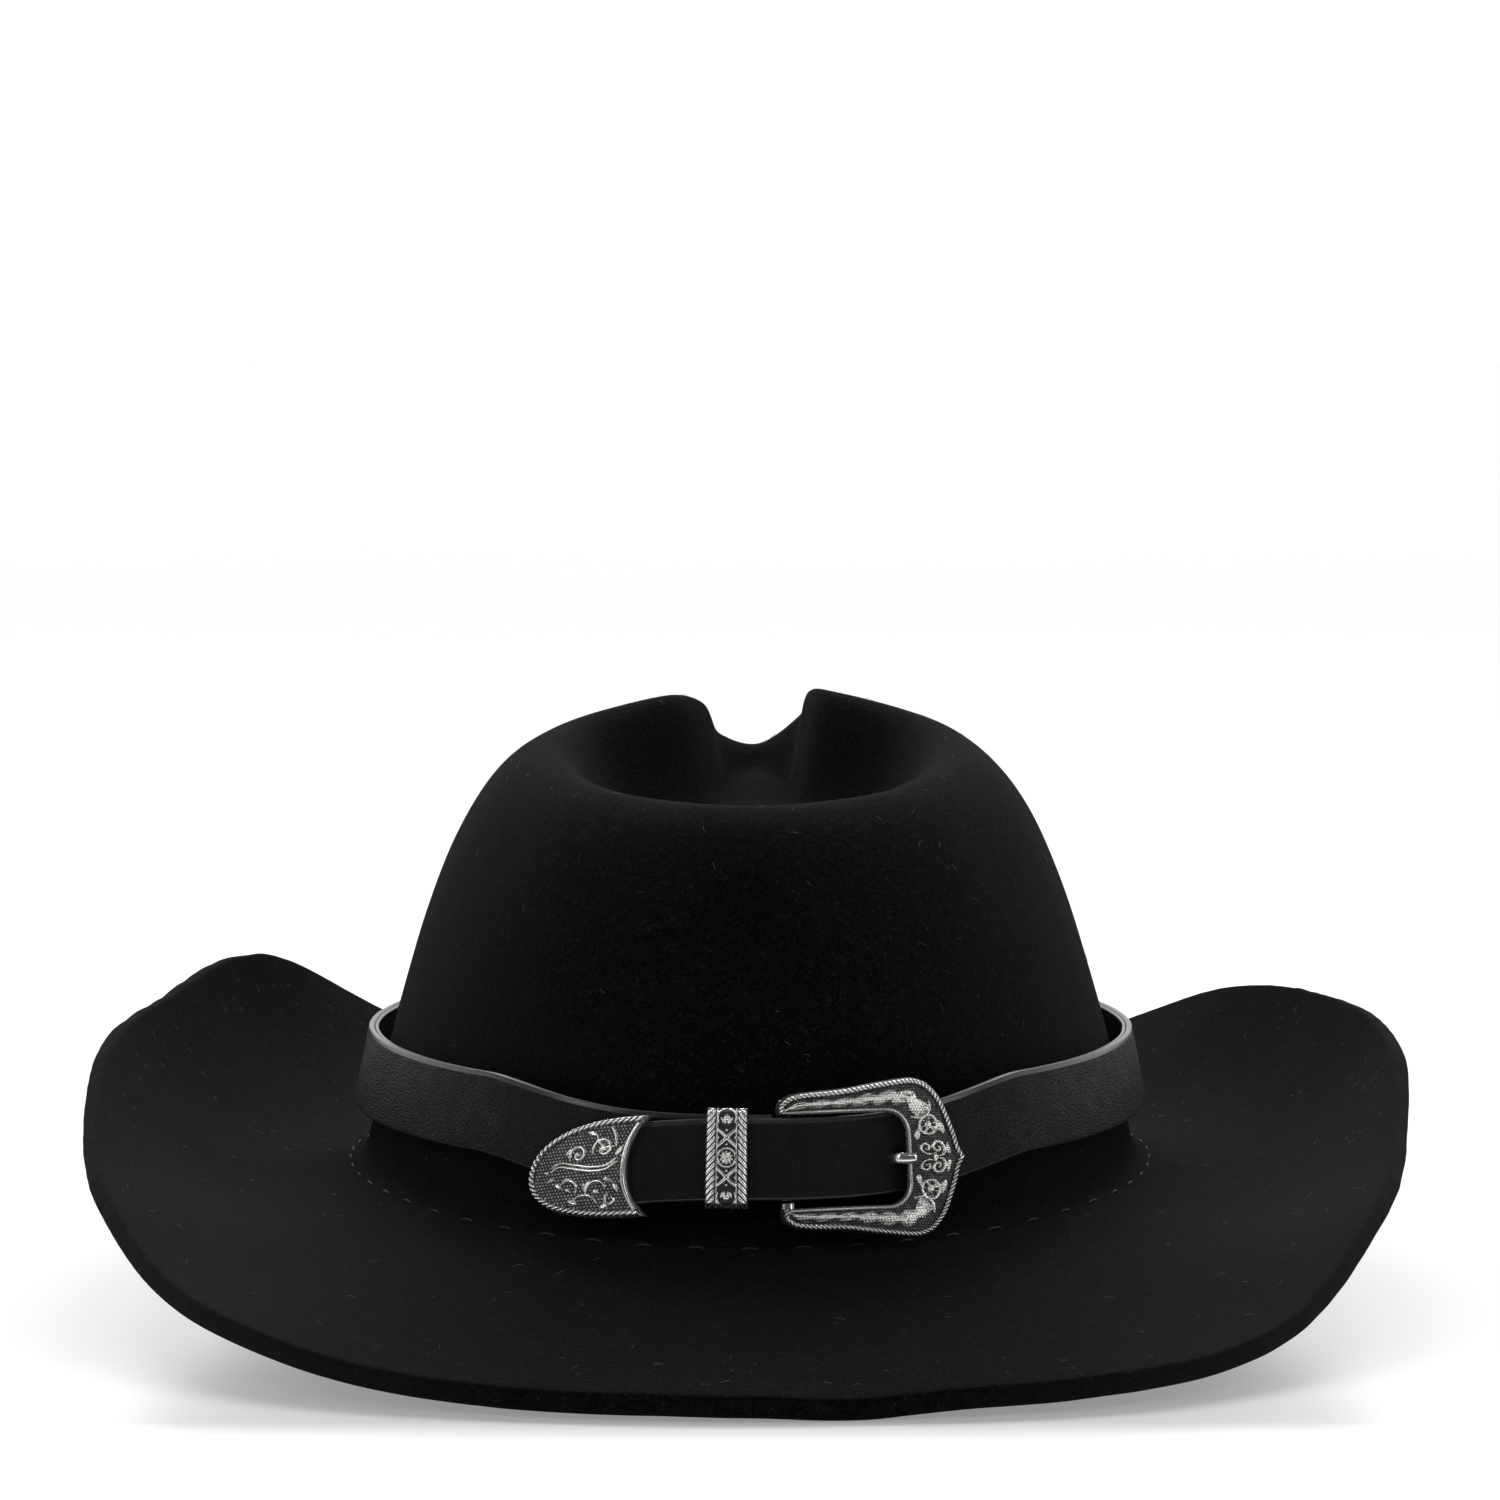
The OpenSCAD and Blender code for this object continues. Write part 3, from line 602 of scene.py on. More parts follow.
def point_normals(verts, quads):
    a, b, c, d = (verts[quads[:, k]] for k in range(4))
    face = np.cross(c - a, d - b)
    out = np.zeros_like(verts)
    for k in range(4):
        np.add.at(out, quads[:, k], face)
    return unit(out)


def make_felt():
    grid = relax_rim(felt_grid())
    n, m = grid.shape[:2]
    index = np.arange(n * m).reshape(n, m)
    mirror = (n - np.arange(n)) % n
    index[n // 2 + 1:, 0] = index[mirror[n // 2 + 1:], 0]
    for j in (0, n // 2):
        index[j, :CAP_ROWS + 1] = index[j, CAP_ROWS]
    verts = grid.reshape(-1, 3)
    j, i = np.meshgrid(np.arange(n), np.arange(m - 1), indexing="ij")
    j, i = j.ravel(), i.ravel()
    j2 = (j + 1) % n
    quads = np.stack([index[j, i], index[j, i + 1], index[j2, i + 1], index[j2, i]], 1)
    normal = point_normals(verts, quads)
    normal = normal[index].reshape(n, m, 3)
    # hand blocked felt is never quite even
    row = np.arange(m)
    brim = ease((row - FIRST_BRIM + 6) / 60.0)[None, :]
    swell = 0.22 * wander(grid, 60, 3) + 0.10 * wander(grid, 22, 4)
    swell = swell * (1 - brim) + brim * 0.55 * wander(grid, 80, 5)
    edge_x = grid[..., 0]
    near_edge = ease((-grid[..., 1] - 150) / 34.0)
    ripple = 0.9 * np.exp(-((edge_x - 44) / 15.0) ** 2) - 0.7 * np.exp(-((edge_x - 22) / 12.0) ** 2)
    stays = 1 - ease((-grid[..., 1] - hat_half_l + 9) / 6.0) * 0.3
    outer = grid + normal * swell[..., None]
    outer[..., 2] += near_edge * ripple * stays * brim
    thick = felt_t + (edge_t - felt_t) * ease((row - FIRST_BRIM) / (BRIM_ROWS - 1.0))
    inner = outer - normal * thick[None, :, None]
    # raw cut edge, rounded and a little uneven
    last_out, last_in = outer[:, -1], inner[:, -1]
    middle, half = (last_out + last_in) / 2, (last_out - last_in) / 2
    away = unit(np.cross(np.roll(last_out, -1, 0) - np.roll(last_out, 1, 0), half))
    away *= np.sign(np.sum(away * (outer[:, -1] - outer[:, -4]), axis=1))[:, None]
    reach = 1.25 + 0.22 * wander(last_out, 14, 8) + 0.12 * wander(last_out, 5, 9)
    lip = []
    for a in np.linspace(0, 180, 11)[1:-1]:
        c, s = math.cos(math.radians(a)), math.sin(math.radians(a))
        lip.append(middle + half * (np.sign(c) * abs(c) ** 0.8) + away * (reach * s ** 0.7)[:, None])
    lip = np.stack(lip, 1)
    k = lip.shape[1]
    flat_outer, flat_inner = outer.reshape(-1, 3), inner.reshape(-1, 3)
    base_in, base_lip = n * m, 2 * n * m
    faces = []
    for q in quads.tolist():
        seen = list(dict.fromkeys(q))
        if len(seen) > 2:
            faces.append(seen)
            faces.append([v + base_in for v in reversed(seen)])
    edge_index = np.concatenate([index[:, -1:], base_lip + np.arange(n * k).reshape(n, k),
                                 index[:, -1:] + base_in], axis=1)
    nxt = np.roll(edge_index, -1, axis=0)
    for col in range(k + 1):
        faces += np.stack([edge_index[:, col], edge_index[:, col + 1],
                           nxt[:, col + 1], nxt[:, col]], 1).tolist()
    verts = np.vstack([flat_outer, flat_inner, lip.reshape(-1, 3)])
    used = np.zeros(len(verts), bool)
    used[np.unique(np.concatenate([np.asarray(f) for f in faces]))] = True
    remap = np.cumsum(used) - 1
    faces = [[int(remap[v]) for v in f] for f in faces]
    obj = new_object("felt_body_look", verts[used], faces, FELT)
    place(obj, "hat", "felt_body")
    return outer, normal


felt_outer, felt_normal = make_felt()


def make_stitching():
    """Stitches of the sweatband, sunk a little into the brim just outside the break."""
    row = FIRST_BRIM
    u = np.arange(stitch_count) / stitch_count * LINES
    j = np.floor(u).astype(int) % LINES
    centre = (felt_outer[j, row - 3] + felt_outer[j, row]) / 2
    way = unit(felt_outer[(j + 2) % LINES, row] - felt_outer[j - 2, row])
    rise = felt_normal[j, row]
    parts = []
    for c, w, r in zip(centre, way, rise):
        s = np.linspace(-1, 1, 11)[:, None]
        length = stitch_len / 2 * (0.92 + 0.12 * rng.random())
        sag = (1 - s ** 2) * 0.30 - 0.14
        path = c + w * s * length + r * sag
        parts.append(tube(path, 0.7 * thread_d / 2 * np.sqrt(np.maximum(0.12, 1 - s[:, 0] ** 6))))
    place(joined("stitching_look", parts, THREAD), "hat", "sweatband_stitching")


def wall_point(j, z, d):
    """Point on the inside of the crown wall at a height, d away from the outer felt surface."""
    rows = slice(CAP_ROWS + CREASE_ROWS + 12, FIRST_BRIM)
    line = felt_outer[j, rows] - felt_normal[j, rows] * d
    order = np.argsort(line[:, 2])
    return np.array([np.interp(z, line[order, 2], line[order, 0]),
                     np.interp(z, line[order, 2], line[order, 1]), z])


def make_sweatband():
    """Leather sweatband with a rolled lower edge, a stitched reed line and a back seam."""
    near_d, far_d = felt_t + sweat_gap, felt_t + sweat_gap + sweat_t
    z0 = break_z_side + break_r - 4
    z1 = z0 + sweat_h
    lines = np.arange(0, LINES, 2)
    sections, roll, reed = [], [], []
    for j in lines:
        heights = np.linspace(z0 + 0.6, z1 - 0.5, 16)
        a = [wall_point(j, z, near_d) for z in heights]
        b = [wall_point(j, z, far_d + 0.08 * math.sin(z * 0.9 + j * 0.05)) for z in heights[::-1]]
        top = wall_point(j, z1, (near_d + far_d) / 2)
        low = wall_point(j, z0, (near_d + far_d) / 2)
        sections.append(a + [top] + b + [low])
        roll.append(wall_point(j, z0 + 0.7, far_d - 0.1))
        reed.append(wall_point(j, z0 + 4.2, far_d + 0.05))
    grid = np.array(sections)[:, ::-1]
    place(joined("sweatband_look", [ring_mesh(grid)], SWEAT), "hat", "sweatband")
    ring = np.array(roll)
    way = unit(np.roll(ring, -1, 0) - np.roll(ring, 1, 0))
    side = unit(np.cross(way, [0, 0, 1.0]))
    a = np.linspace(0, 360, 10, endpoint=False)
    tube_grid = (ring[:, None] + 0.75 * (side[:, None] * cosd(a)[None, :, None]
                                         + np.array([0, 0, 1.0]) * sind(a)[None, :, None]))
    rolled = joined("sweatband_rolled_edge", [ring_mesh(tube_grid, flip=True)], SWEAT)
    place(rolled, "hat", None)
    dashes = []
    ring = np.array(reed)
    for k in range(0, len(ring) - 2, 2):
        s = np.linspace(0.1, 0.8, 5)[:, None] * 2
        p = ring[k] + (ring[k + 1] - ring[k]) * s
        dashes.append(tube(p, 0.26 * np.array([0.4, 1, 1, 1, 0.4]), 6))
    for k in range(9):
        z = z0 + 5 + k * 4.6
        p, q = wall_point(2, z, far_d + 0.05), wall_point(LINES - 2, z + 3.0, far_d + 0.05)
        r, s = wall_point(2, z + 3.0, far_d + 0.05), wall_point(LINES - 2, z, far_d + 0.05)
        for a_end, b_end in ((p, q), (r, s)):
            u = np.linspace(0, 1, 5)[:, None]
            dashes.append(tube(lerp(a_end, b_end, u), 0.26 * np.array([0.4, 1, 1, 1, 0.4]), 6))
    place(joined("sweatband_stitches", dashes, THREAD), "hat", None)


def make_lint(count=560):
    """Stray fibres that lie on the felt."""
    parts = []
    rows = np.arange(CAP_ROWS + CREASE_ROWS - 4, FIRST_BRIM + BRIM_ROWS - 3)
    for _ in range(count):
        j, i = rng.integers(0, LINES), rng.choice(rows if rng.random() < 0.7 else rows[-12:])
        here, rise = felt_outer[j, i], felt_normal[j, i]
        way = unit(np.cross(rise, rng.normal(size=3)))
        bend = np.cross(rise, way)
        s = np.linspace(0, 1, 6)[:, None]
        length, curl = rng.uniform(0.5, 2.2), rng.uniform(-1.2, 1.2)
        path = here + way * s * length + bend * curl * s ** 2 + rise * (0.02 + 0.22 * np.sin(s * 2.6))
        parts.append(tube(path, rng.uniform(0.025, 0.05), 4))
    place(joined("felt_lint", parts, LINT), "hat", None)


make_stitching()
make_sweatband()
make_lint()


# ---------------------------------------------------------------- hatband
def oval(a, d):
    """Strap loop of four tangent arcs; a is the outward direction, d the distance outside the loop."""
    s, c = sind(a), cosd(a)
    end = np.abs(s) > math.sin(turn_a)
    x = np.where(end, (loop_end_r + d) * c, -np.sign(c) * (side_r - loop_half_w) + (side_r + d) * c)
    y = np.where(end, np.sign(s) * loop_end_y + (loop_end_r + d) * s, (side_r + d) * s)
    return x, y


def band_z(a):
    y = oval(a, 0)[1]
    level = (strap_back_z + (strap_side_z - strap_back_z) * ease((y + loop_end_y + loop_end_r) / 30)
             + end_step * ease((a - 215) / 30))
    return np.where(a < -90, strap_back_z - free_droop * ((-90 - a) / 36) ** 2, level)


def band_off(a):
    """The free end lies outside the other end over the back and settles inward at the side."""
    step = (band_z(a + 360) - band_z(a)) * math.sin(lean) * ease((-60 - a) / 25)
    return lift * (1 - ease((a + 48) / 44)) + np.where(a < -60, step, 0)


def band_pt(a, d, h):
    x, y = oval(a, d * math.cos(lean) - h * math.sin(lean))
    return np.stack(np.broadcast_arrays(x, y, band_z(a) + h * math.cos(lean) + d * math.sin(lean)), -1)


def plate_values():
    """The buckle is a curved plate with its own radius between the heel bar and its point."""
    b, bulge = math.radians(bar_angle), plate_bulge
    pa = np.array([(bar_r + heel_out) * math.sin(b), -loop_end_y - (bar_r + heel_out) * math.cos(b)])
    e = b + buckle_len / (outer_r + frame_t / 2)
    far_r = outer_r + frame_t / 2 + frame_lift
    pb = np.array([far_r * math.sin(e), -loop_end_y - far_r * math.cos(e)])
    chord = float(np.hypot(*(pb - pa)))
    radius = ((chord / 2) ** 2 + bulge ** 2) / (2 * bulge)
    n = np.array([(pb - pa)[1], -(pb - pa)[0]]) / chord
    return {"chord": chord, "r": radius, "c": (pa + pb) / 2 + n * (bulge - radius),
            "turn": math.atan2(n[0], -n[1])}


plate = plate_values()
rest_x = plate["chord"] - bow_w
fold_a, fold_room = -90 + bar_angle, 2.4
free_a = -90 + tip_angle + 6.5
hole_angle = bar_angle + math.degrees((rest_x - hole_back) / outer_r)


def on_curve(turn, radius, local):
    """Places (x along, y inward, z up the strap) of the back curve in the row frame."""
    x, y, z = local[..., 0], local[..., 1], local[..., 2]
    y2 = y * math.cos(lean) + z * math.sin(lean) - radius
    z2 = -y * math.sin(lean) + z * math.cos(lean) + strap_back_z
    c, s = math.cos(math.radians(turn)), math.sin(math.radians(turn))
    return np.stack([x * c - y2 * s, x * s + y2 * c - loop_end_y, z2], -1)


def around(profile, turn):
    """Local grid of a (radius, height) profile turned about the upright axis."""
    return np.stack([profile[None, :, 0] * cosd(turn)[:, None], profile[None, :, 0] * sind(turn)[:, None],
                     np.broadcast_to(profile[None, :, 1], (len(turn), len(profile)))], -1)


def hole_cutter():
    """Rounded slot through the strap for the prong."""
    half = hole_len / 2 - hole_w / 2
    a = np.linspace(0, 360, 48, endpoint=False)
    ring = np.stack([hole_w / 2 * cosd(a) + np.where(cosd(a) > 0, half, -half), hole_w / 2 * sind(a)], 1)
    layers = [np.stack([ring[:, 0], np.full(len(a), y), ring[:, 1] + strap_w / 2], 1) for y in (-2.4, 5.0)]
    grid = on_curve(hole_angle, outer_r, np.array(layers))
    return new_object("hole cutter", *closed_strip(grid), STRAP)


def cut(obj, cutter):
    """Boolean difference, applied."""
    step = obj.modifiers.new("hole", "BOOLEAN")
    step.operation, step.object, step.solver = "DIFFERENCE", cutter, "EXACT"
    shown = obj.evaluated_get(bpy.context.evaluated_depsgraph_get())
    mesh = bpy.data.meshes.new_from_object(shown)
    obj.modifiers.clear()
    old, obj.data = obj.data, mesh
    bpy.data.meshes.remove(old)
    mesh.polygons.foreach_set("use_smooth", [True] * len(mesh.polygons))


def strap_grid(d0, d1, r):
    """Sections of one strap layer between two depths, all the way round."""
    a = np.linspace(free_a, 360 + fold_a - fold_room, 1000)
    profile = box_profile(d0, d1, 0.0, strap_w, r, 22)
    base = band_off(a)[:, None]
    d = base + profile[None, :, 0]
    h = np.broadcast_to(profile[None, :, 1], d.shape)
    grid = band_pt(np.broadcast_to(a[:, None], d.shape), d, h)
    # soft waviness of worn leather, none where the metal sits on it
    free = ease((a + 60) / 20) * ease((262 - a) / 12)
    wave = 0.28 * wander(grid, 70, 21) + 0.07 * wander(grid, 16, 22)
    out = unit(np.stack([grid[..., 0] / loop_half_w ** 2, grid[..., 1] / 115.0 ** 2, 0 * grid[..., 0]], -1))
    return grid + out * (wave * free[:, None])[..., None]


def edge_faces(obj, count):
    """Gives the rounded edges of a strap layer, whose sections have count points, the painted finish."""
    obj.data.materials.append(EDGE)
    lower, upper = (0, 4), (25, 38)
    for poly in obj.data.polygons:
        first = min(poly.vertices) % count
        if len(poly.vertices) == 4 and any(lo <= first < hi for lo, hi in (lower, upper, (count - 4, count))):
            poly.material_index = 1


def fold_eyes():
    """Folded strap end round the heel bar, open in the middle for the prong."""
    tall = strap_w / 2 - prong_w / 2 - 0.6
    turn = np.linspace(0, 360, 40, endpoint=False)
    parts = []
    for z in (0.0, strap_w - tall):
        profile = box_profile(bar_d / 2 + bar_clear, eye_r, z, z + tall, 0.2, 14, 3)
        parts.append(ring_mesh(on_curve(bar_angle, bar_r, around(profile, turn))))
    return parts


def make_strap():
    cutter = hole_cutter()
    for name, d0, d1, r, finish, slot_name in (
            ("strap_face", lining_t + glue_gap, strap_t, 0.5, STRAP, "strap_leather"),
            ("strap_lining", 0.0, lining_t, 0.3, LINING, "lining_leather")):
        grid = strap_grid(d0, d1, r)
        obj = new_object(name + "_look", *closed_strip(grid), finish)
        edge_faces(obj, grid.shape[1])
        cut(obj, cutter)
        place(obj, "hatband", name)
    bpy.data.objects.remove(cutter)
    place(joined("strap_fold_look", fold_eyes(), STRAP), "hatband", None)


make_strap()


# ---------------------------------------------------------------- ornament of the metal pieces
def spiral(x, y, start, turns, r0, r1, count=26):
    """Scroll that winds from radius r0 to r1 round (x, y)."""
    s = np.linspace(0, 1, count)
    a = start + 360 * turns * s
    r = r0 + (r1 - r0) * s
    return np.stack([x + r * cosd(a), y + r * sind(a)], 1)


def arc(x, y, r, a0, a1, count=20):
    a = np.linspace(a0, a1, count)
    return np.stack([x + r * cosd(a), y + r * sind(a)], 1)


def stroke(p, line, wide, high, taper=0.35):
    """Rounded ridge along a line, thinner toward its ends."""
    lo, hi = line.min(0) - wide, line.max(0) + wide
    out = np.zeros(len(p))
    inside = np.all((p > lo) & (p < hi), axis=1)
    if not inside.any():
        return out
    d, s = near(p[inside], line)
    total = arc_length(line)[-1]
    full = np.sqrt(np.maximum(0.0, np.sin(math.pi * np.clip(s / total, 0.02, 0.98))))
    w = wide * (taper + (1 - taper) * full)
    out[inside] = high * np.sqrt(np.clip(1 - (d / w) ** 2, 0, 1))
    return out


def leaf(p, x, y, turn, long, wide, high):
    """Pointed leaf with a vein cut down its middle; it starts at (x, y)."""
    c, s = math.cos(math.radians(turn)), math.sin(math.radians(turn))
    u = ((p[:, 0] - x) * c + (p[:, 1] - y) * s) / long
    v = -(p[:, 0] - x) * s + (p[:, 1] - y) * c
    inside = (u > 0) & (u < 1)
    half = wide * np.sin(math.pi * np.clip(u, 0, 1) ** 0.75) + 1e-6
    body = np.clip(1 - (v / half) ** 2, 0, 1)
    vein = 1 - 0.55 * np.exp(-(v / (0.16 * wide + 0.05)) ** 2)
    return np.where(inside, high * np.sqrt(body) * vein, 0)


def berry(p, x, y, r, high):
    d2 = ((p[:, 0] - x) ** 2 + (p[:, 1] - y) ** 2) / r ** 2
    return high * np.sqrt(np.clip(1 - d2, 0, 1))


def ring(p, x, y, r, wide, high):
    d = np.abs(np.hypot(p[:, 0] - x, p[:, 1] - y) - r)
    return high * np.sqrt(np.clip(1 - (d / wide) ** 2, 0, 1))


def relief(p, strokes, leaves, berries):
    """Highest of several ornaments: scrolls (line, width), leaves (x, y, turn, length, width) and berries."""
    forms = [np.zeros(len(p))]
    forms += [stroke(p, line, wide, high) for line, wide, high in strokes]
    forms += [leaf(p, *at, 0.85) for at in leaves]
    forms += [berry(p, *at) for at in berries]
    return np.max(forms, axis=0)


def stipple(p, size):
    """Punched ground: close rows of tiny round bumps."""
    q = p / size
    row = np.floor(q[:, 1] / 0.866)
    cx = np.round(q[:, 0] - 0.5 * (row % 2)) + 0.5 * (row % 2)
    d = np.hypot(q[:, 0] - cx, q[:, 1] - (row + 0.5) * 0.866)
    return np.sqrt(np.clip(1 - (d / 0.42) ** 2, 0, 1))


def rope(across, along, radius, pitch):
    """Height of a two strand twisted cord, 0..1; across is measured from its middle."""
    x = np.clip(across / radius, -1, 1)
    body = np.sqrt(1 - x ** 2)
    strand = np.abs(np.cos(math.pi * (along / pitch + 0.55 * x)))
    return body * (0.45 + 0.55 * strand ** 0.7), body * strand


def leafy_band(s, v, half, high, pitch):
    """Polished rounded band with leaf cuts along both sides and curled veins."""
    phase = s / pitch
    lobes = half * (0.55 + 0.45 * np.abs(np.sin(math.pi * (phase + 0.18 * v / half))))
    body = np.sqrt(np.clip(1 - (v / lobes) ** 2, 0, 1))
    way = np.abs(((phase + 0.42 * np.abs(v / half) ** 1.5 + 0.13 * np.sin(2.1 * s)) % 1.0) - 0.5) * pitch
    cut_depth = 0.75 * np.exp(-(way / 0.26) ** 2) * (np.abs(v) > 0.18 * half)
    return high * body * (1 - cut_depth)


# ---------------------------------------------------------------- buckle frame
HORN = [(-0.035, 0.585), (-0.037, 0.66), (-0.02, 0.76), (0.06, 0.85), (0.3, 0.89), (0.45, 0.94), (0.6, 0.985),
        (0.7, 1.0), (0.78, 0.95), (0.84, 0.845), (0.89, 0.69), (0.93, 0.49), (0.965, 0.28), (0.985, 0.13),
        (1.02, 0.0)]


def half_curves(count):
    """Upper half of the buckle's outer curve and of its opening, horn end to point, matched."""
    L, H, o = plate["chord"], buckle_h / 2, opening_h / 2
    outer = even(smooth_line([(x * L, y * H) for x, y in HORN], 24), 600)
    r, corner = rest_x, 5.0
    opening = np.vstack([[(-0.035 * L, o)], [(r - corner, o)], arc(r - corner, o - corner, corner, 90, 0, 24),
                         [(r, 0.0)]])
    opening = even(opening, 600)
    s_out, s_in = arc_length(outer), arc_length(opening)
    # places that face each other: horn end, start and end of the corner, middle of the closed end
    top = s_out[np.argmin(np.abs(outer[:, 0] - 0.60 * L) + 1000 * (outer[:, 1] < 0.8 * H))]
    low = s_out[np.argmin(np.abs(outer[:, 1] - 0.42 * H) + 1000 * (outer[:, 0] < 0.8 * L))]
    pairs_out = [0, top, low, s_out[-1]]
    pairs_in = [0, r - corner + 0.035 * L, r - corner + 0.035 * L + corner * math.pi / 2 + 0.6, s_in[-1]]
    t = np.linspace(0, s_out[-1], count)
    u = np.interp(t, pairs_out, pairs_in)
    pick = lambda line, s, at: np.stack([np.interp(at, s, line[:, k]) for k in (0, 1)], 1)
    return pick(outer, s_out, t), pick(opening, s_in, u)


def on_plate(x, v, d):
    """Flat place on the buckle (x along from the heel bar, v up, d out) to the row frame."""
    x = x - plate["chord"] / 2
    sag = plate["r"] - np.sqrt(plate["r"] ** 2 - x ** 2)
    h = strap_w / 2 + buckle_rise + v - sag * math.tan(lean)
    radius = plate["r"] + d * math.cos(lean) - h * math.sin(lean)
    y = -np.sqrt(radius ** 2 - x ** 2)
    c, s = math.cos(plate["turn"]), math.sin(plate["turn"])
    return np.stack([plate["c"][0] + x * c - y * s, plate["c"][1] + x * s + y * c,
                     strap_back_z + h * math.cos(lean) + d * math.sin(lean)], -1)


def buckle_height(flat, d_out, d_in, s_rope, s_mid, v_mid, room):
    """Relief of the buckle and its polish, from the distances to both edges."""
    cord, shine = rope(d_out - 0.85, s_rope, 0.62, 1.05)
    border = 0.35 + 0.85 * cord
    bead = 0.30 + 0.42 * np.sqrt(np.clip(1 - ((d_in - 0.42) / 0.42) ** 2, 0, 1))
    ground = 0.16 + 0.16 * stipple(flat, 0.7)
    closed = np.exp(-(s_mid / 13.5) ** 6)
    horn = leafy_band(s_mid, v_mid, np.clip(room * 0.36, 0.4, 2.2), 1.25, 4.8) * (1 - closed)
    # closed end: paired volutes round a bud, a berry in a ring above and below, leaves between
    q = np.stack([v_mid, np.abs(s_mid)], 1)
    x, y, high = 0.1, 7.6, 0.95
    form = relief(q, ((spiral(1.1, 2.2, -90, 1.35, 1.9, 0.35), 0.5, high),
                      (spiral(-1.7, 2.3, -60, -1.2, 1.7, 0.3), 0.45, high),
                      (arc(0.0, 12.8, 3.0, 200, 340), 0.45, high), (arc(0.4, 4.7, 2.2, 30, 150), 0.38, high)),
                  ((-3.4, 4.6, 75, 3.2, 0.75), (3.4, 4.8, 100, 3.2, 0.8), (0.0, -1.3, 90, 2.6, 0.85),
                   (-1.6, 10.6, 60, 3.2, 0.8), (2.0, 10.4, 115, 3.4, 0.8), (3.5, 0.4, 85, 3.0, 0.7)),
                  [(x, y, 0.95, 1.05)] + [(x + 1.45 * math.cos(math.radians(a)),
                                           y + 1.45 * math.sin(math.radians(a)), 0.3, 0.7)
                                          for a in range(0, 360, 60)])
    form = np.maximum(form, ring(q, x, y, 2.15, 0.42, 0.9))
    panel = np.maximum(np.maximum(horn, form * closed), 0)
    swell = 0.55 * np.clip(1 - (v_mid / np.maximum(room * 0.55, 0.5)) ** 2, 0, 1)
    height = np.where(d_out < 1.5, border, np.where(d_in < 0.85, bead, ground + swell * 0.5 + panel))
    polish = np.where(d_out < 1.5, 0.05 + 0.9 * shine,
                      np.where(d_in < 0.85, 0.50, 0.02 + 0.30 * stipple(flat, 0.7) + panel * 0.95))
    return height, polish


def make_buckle():
    count, rows = 620, 84
    outer_half, opening_half = half_curves(count)
    flip = np.array([1.0, -1.0])
    outer = np.vstack([outer_half * flip, outer_half[-2::-1]])
    opening = np.vstack([opening_half * flip, opening_half[-2::-1]])
    n = len(outer)
    room = np.linalg.norm(outer - opening, axis=1)
    # rows are close together under the rope border
    near_rope = np.linspace(0, 1, 26)[None, :] * np.minimum(1.7, room * 0.5)[:, None]
    rest = np.linspace(0, 1, rows - 25)[None, 1:]
    start = near_rope[:, -1:]
    inward = np.concatenate([near_rope, start + rest * (room[:, None] - start)], axis=1)
    f = inward / np.maximum(room[:, None], 1e-6)
    flat = outer[:, None] + (opening - outer)[:, None] * f[..., None]
    m = flat.shape[1]
    points = flat.reshape(-1, 2)
    d_out, s_rope = near(points, even(outer, 260))
    d_in, _ = near(points, even(opening, 200))
    middle = (outer + opening) / 2
    s_mid = arc_length(middle)
    s_mid = np.repeat((s_mid - s_mid[n // 2])[:, None], m, 1).ravel()
    v_mid = ((room[:, None] / 2 + 0.4) - inward).ravel()
    room_all = np.repeat(room[:, None] - 2.4, m, 1).ravel()
    height, polish = buckle_height(points, d_out, d_in, s_rope, s_mid, v_mid, room_all)
    fade = ease(np.minimum(d_out, d_in) / 0.35)
    top = frame_t / 2 - 0.75 + (0.9 * height - 0.25) * fade - 0.35 * (1 - fade)
    front = on_plate(flat[..., 0], flat[..., 1], top.reshape(n, m))
    # the plain back needs only some of the points across
    keep = np.arange(0, m, 6)
    keep[-1] = m - 1
    back = on_plate(flat[:, keep, 0], flat[:, keep, 1], np.full((n, len(keep)), -frame_t / 2 + 0.35))
    section = np.concatenate([front, back[:, ::-1]], axis=1)
    wear = np.concatenate([polish.reshape(n, m), np.full((n, len(keep)), 0.5)], axis=1)
    verts, faces = closed_strip(section)
    obj = new_object("buckle_frame_look", verts, faces, SILVER, patina=wear.ravel())
    place(obj, "hatband", "buckle_frame")


def make_lugs():
    """Lugs that carry the heel bar behind the two horn ends."""
    middle, overlap = strap_w / 2 + buckle_rise, 0.2
    low = middle - opening_h / 2 + overlap - lug_h
    high = middle + opening_h / 2 - overlap
    turn = np.linspace(0, 360, 40, endpoint=False)
    parts = []
    for z in (low, high):
        profile = box_profile(0.0, eye_r, z, z + lug_h, 0.25, 4, 4)
        profile = profile[profile[:, 0] > 0.02]
        profile = profile[np.argsort(np.arctan2(profile[:, 1] - z - lug_h / 2, profile[:, 0] + 1e-6))]
        grid = on_curve(bar_angle, bar_r, around(profile, turn))
        k = grid.shape[1]
        faces = grid_faces(len(turn), k, wrap_n=True).tolist()
        faces.append([j * k for j in range(len(turn))])
        faces.append([j * k + k - 1 for j in range(len(turn) - 1, -1, -1)])
        parts.append((grid.reshape(-1, 3), faces))
    total = sum(len(v) for v, _ in parts)
    place(joined("buckle_lugs", parts, SILVER, patina=np.full(total, 0.62)), "hatband", None)


make_buckle()
make_lugs()


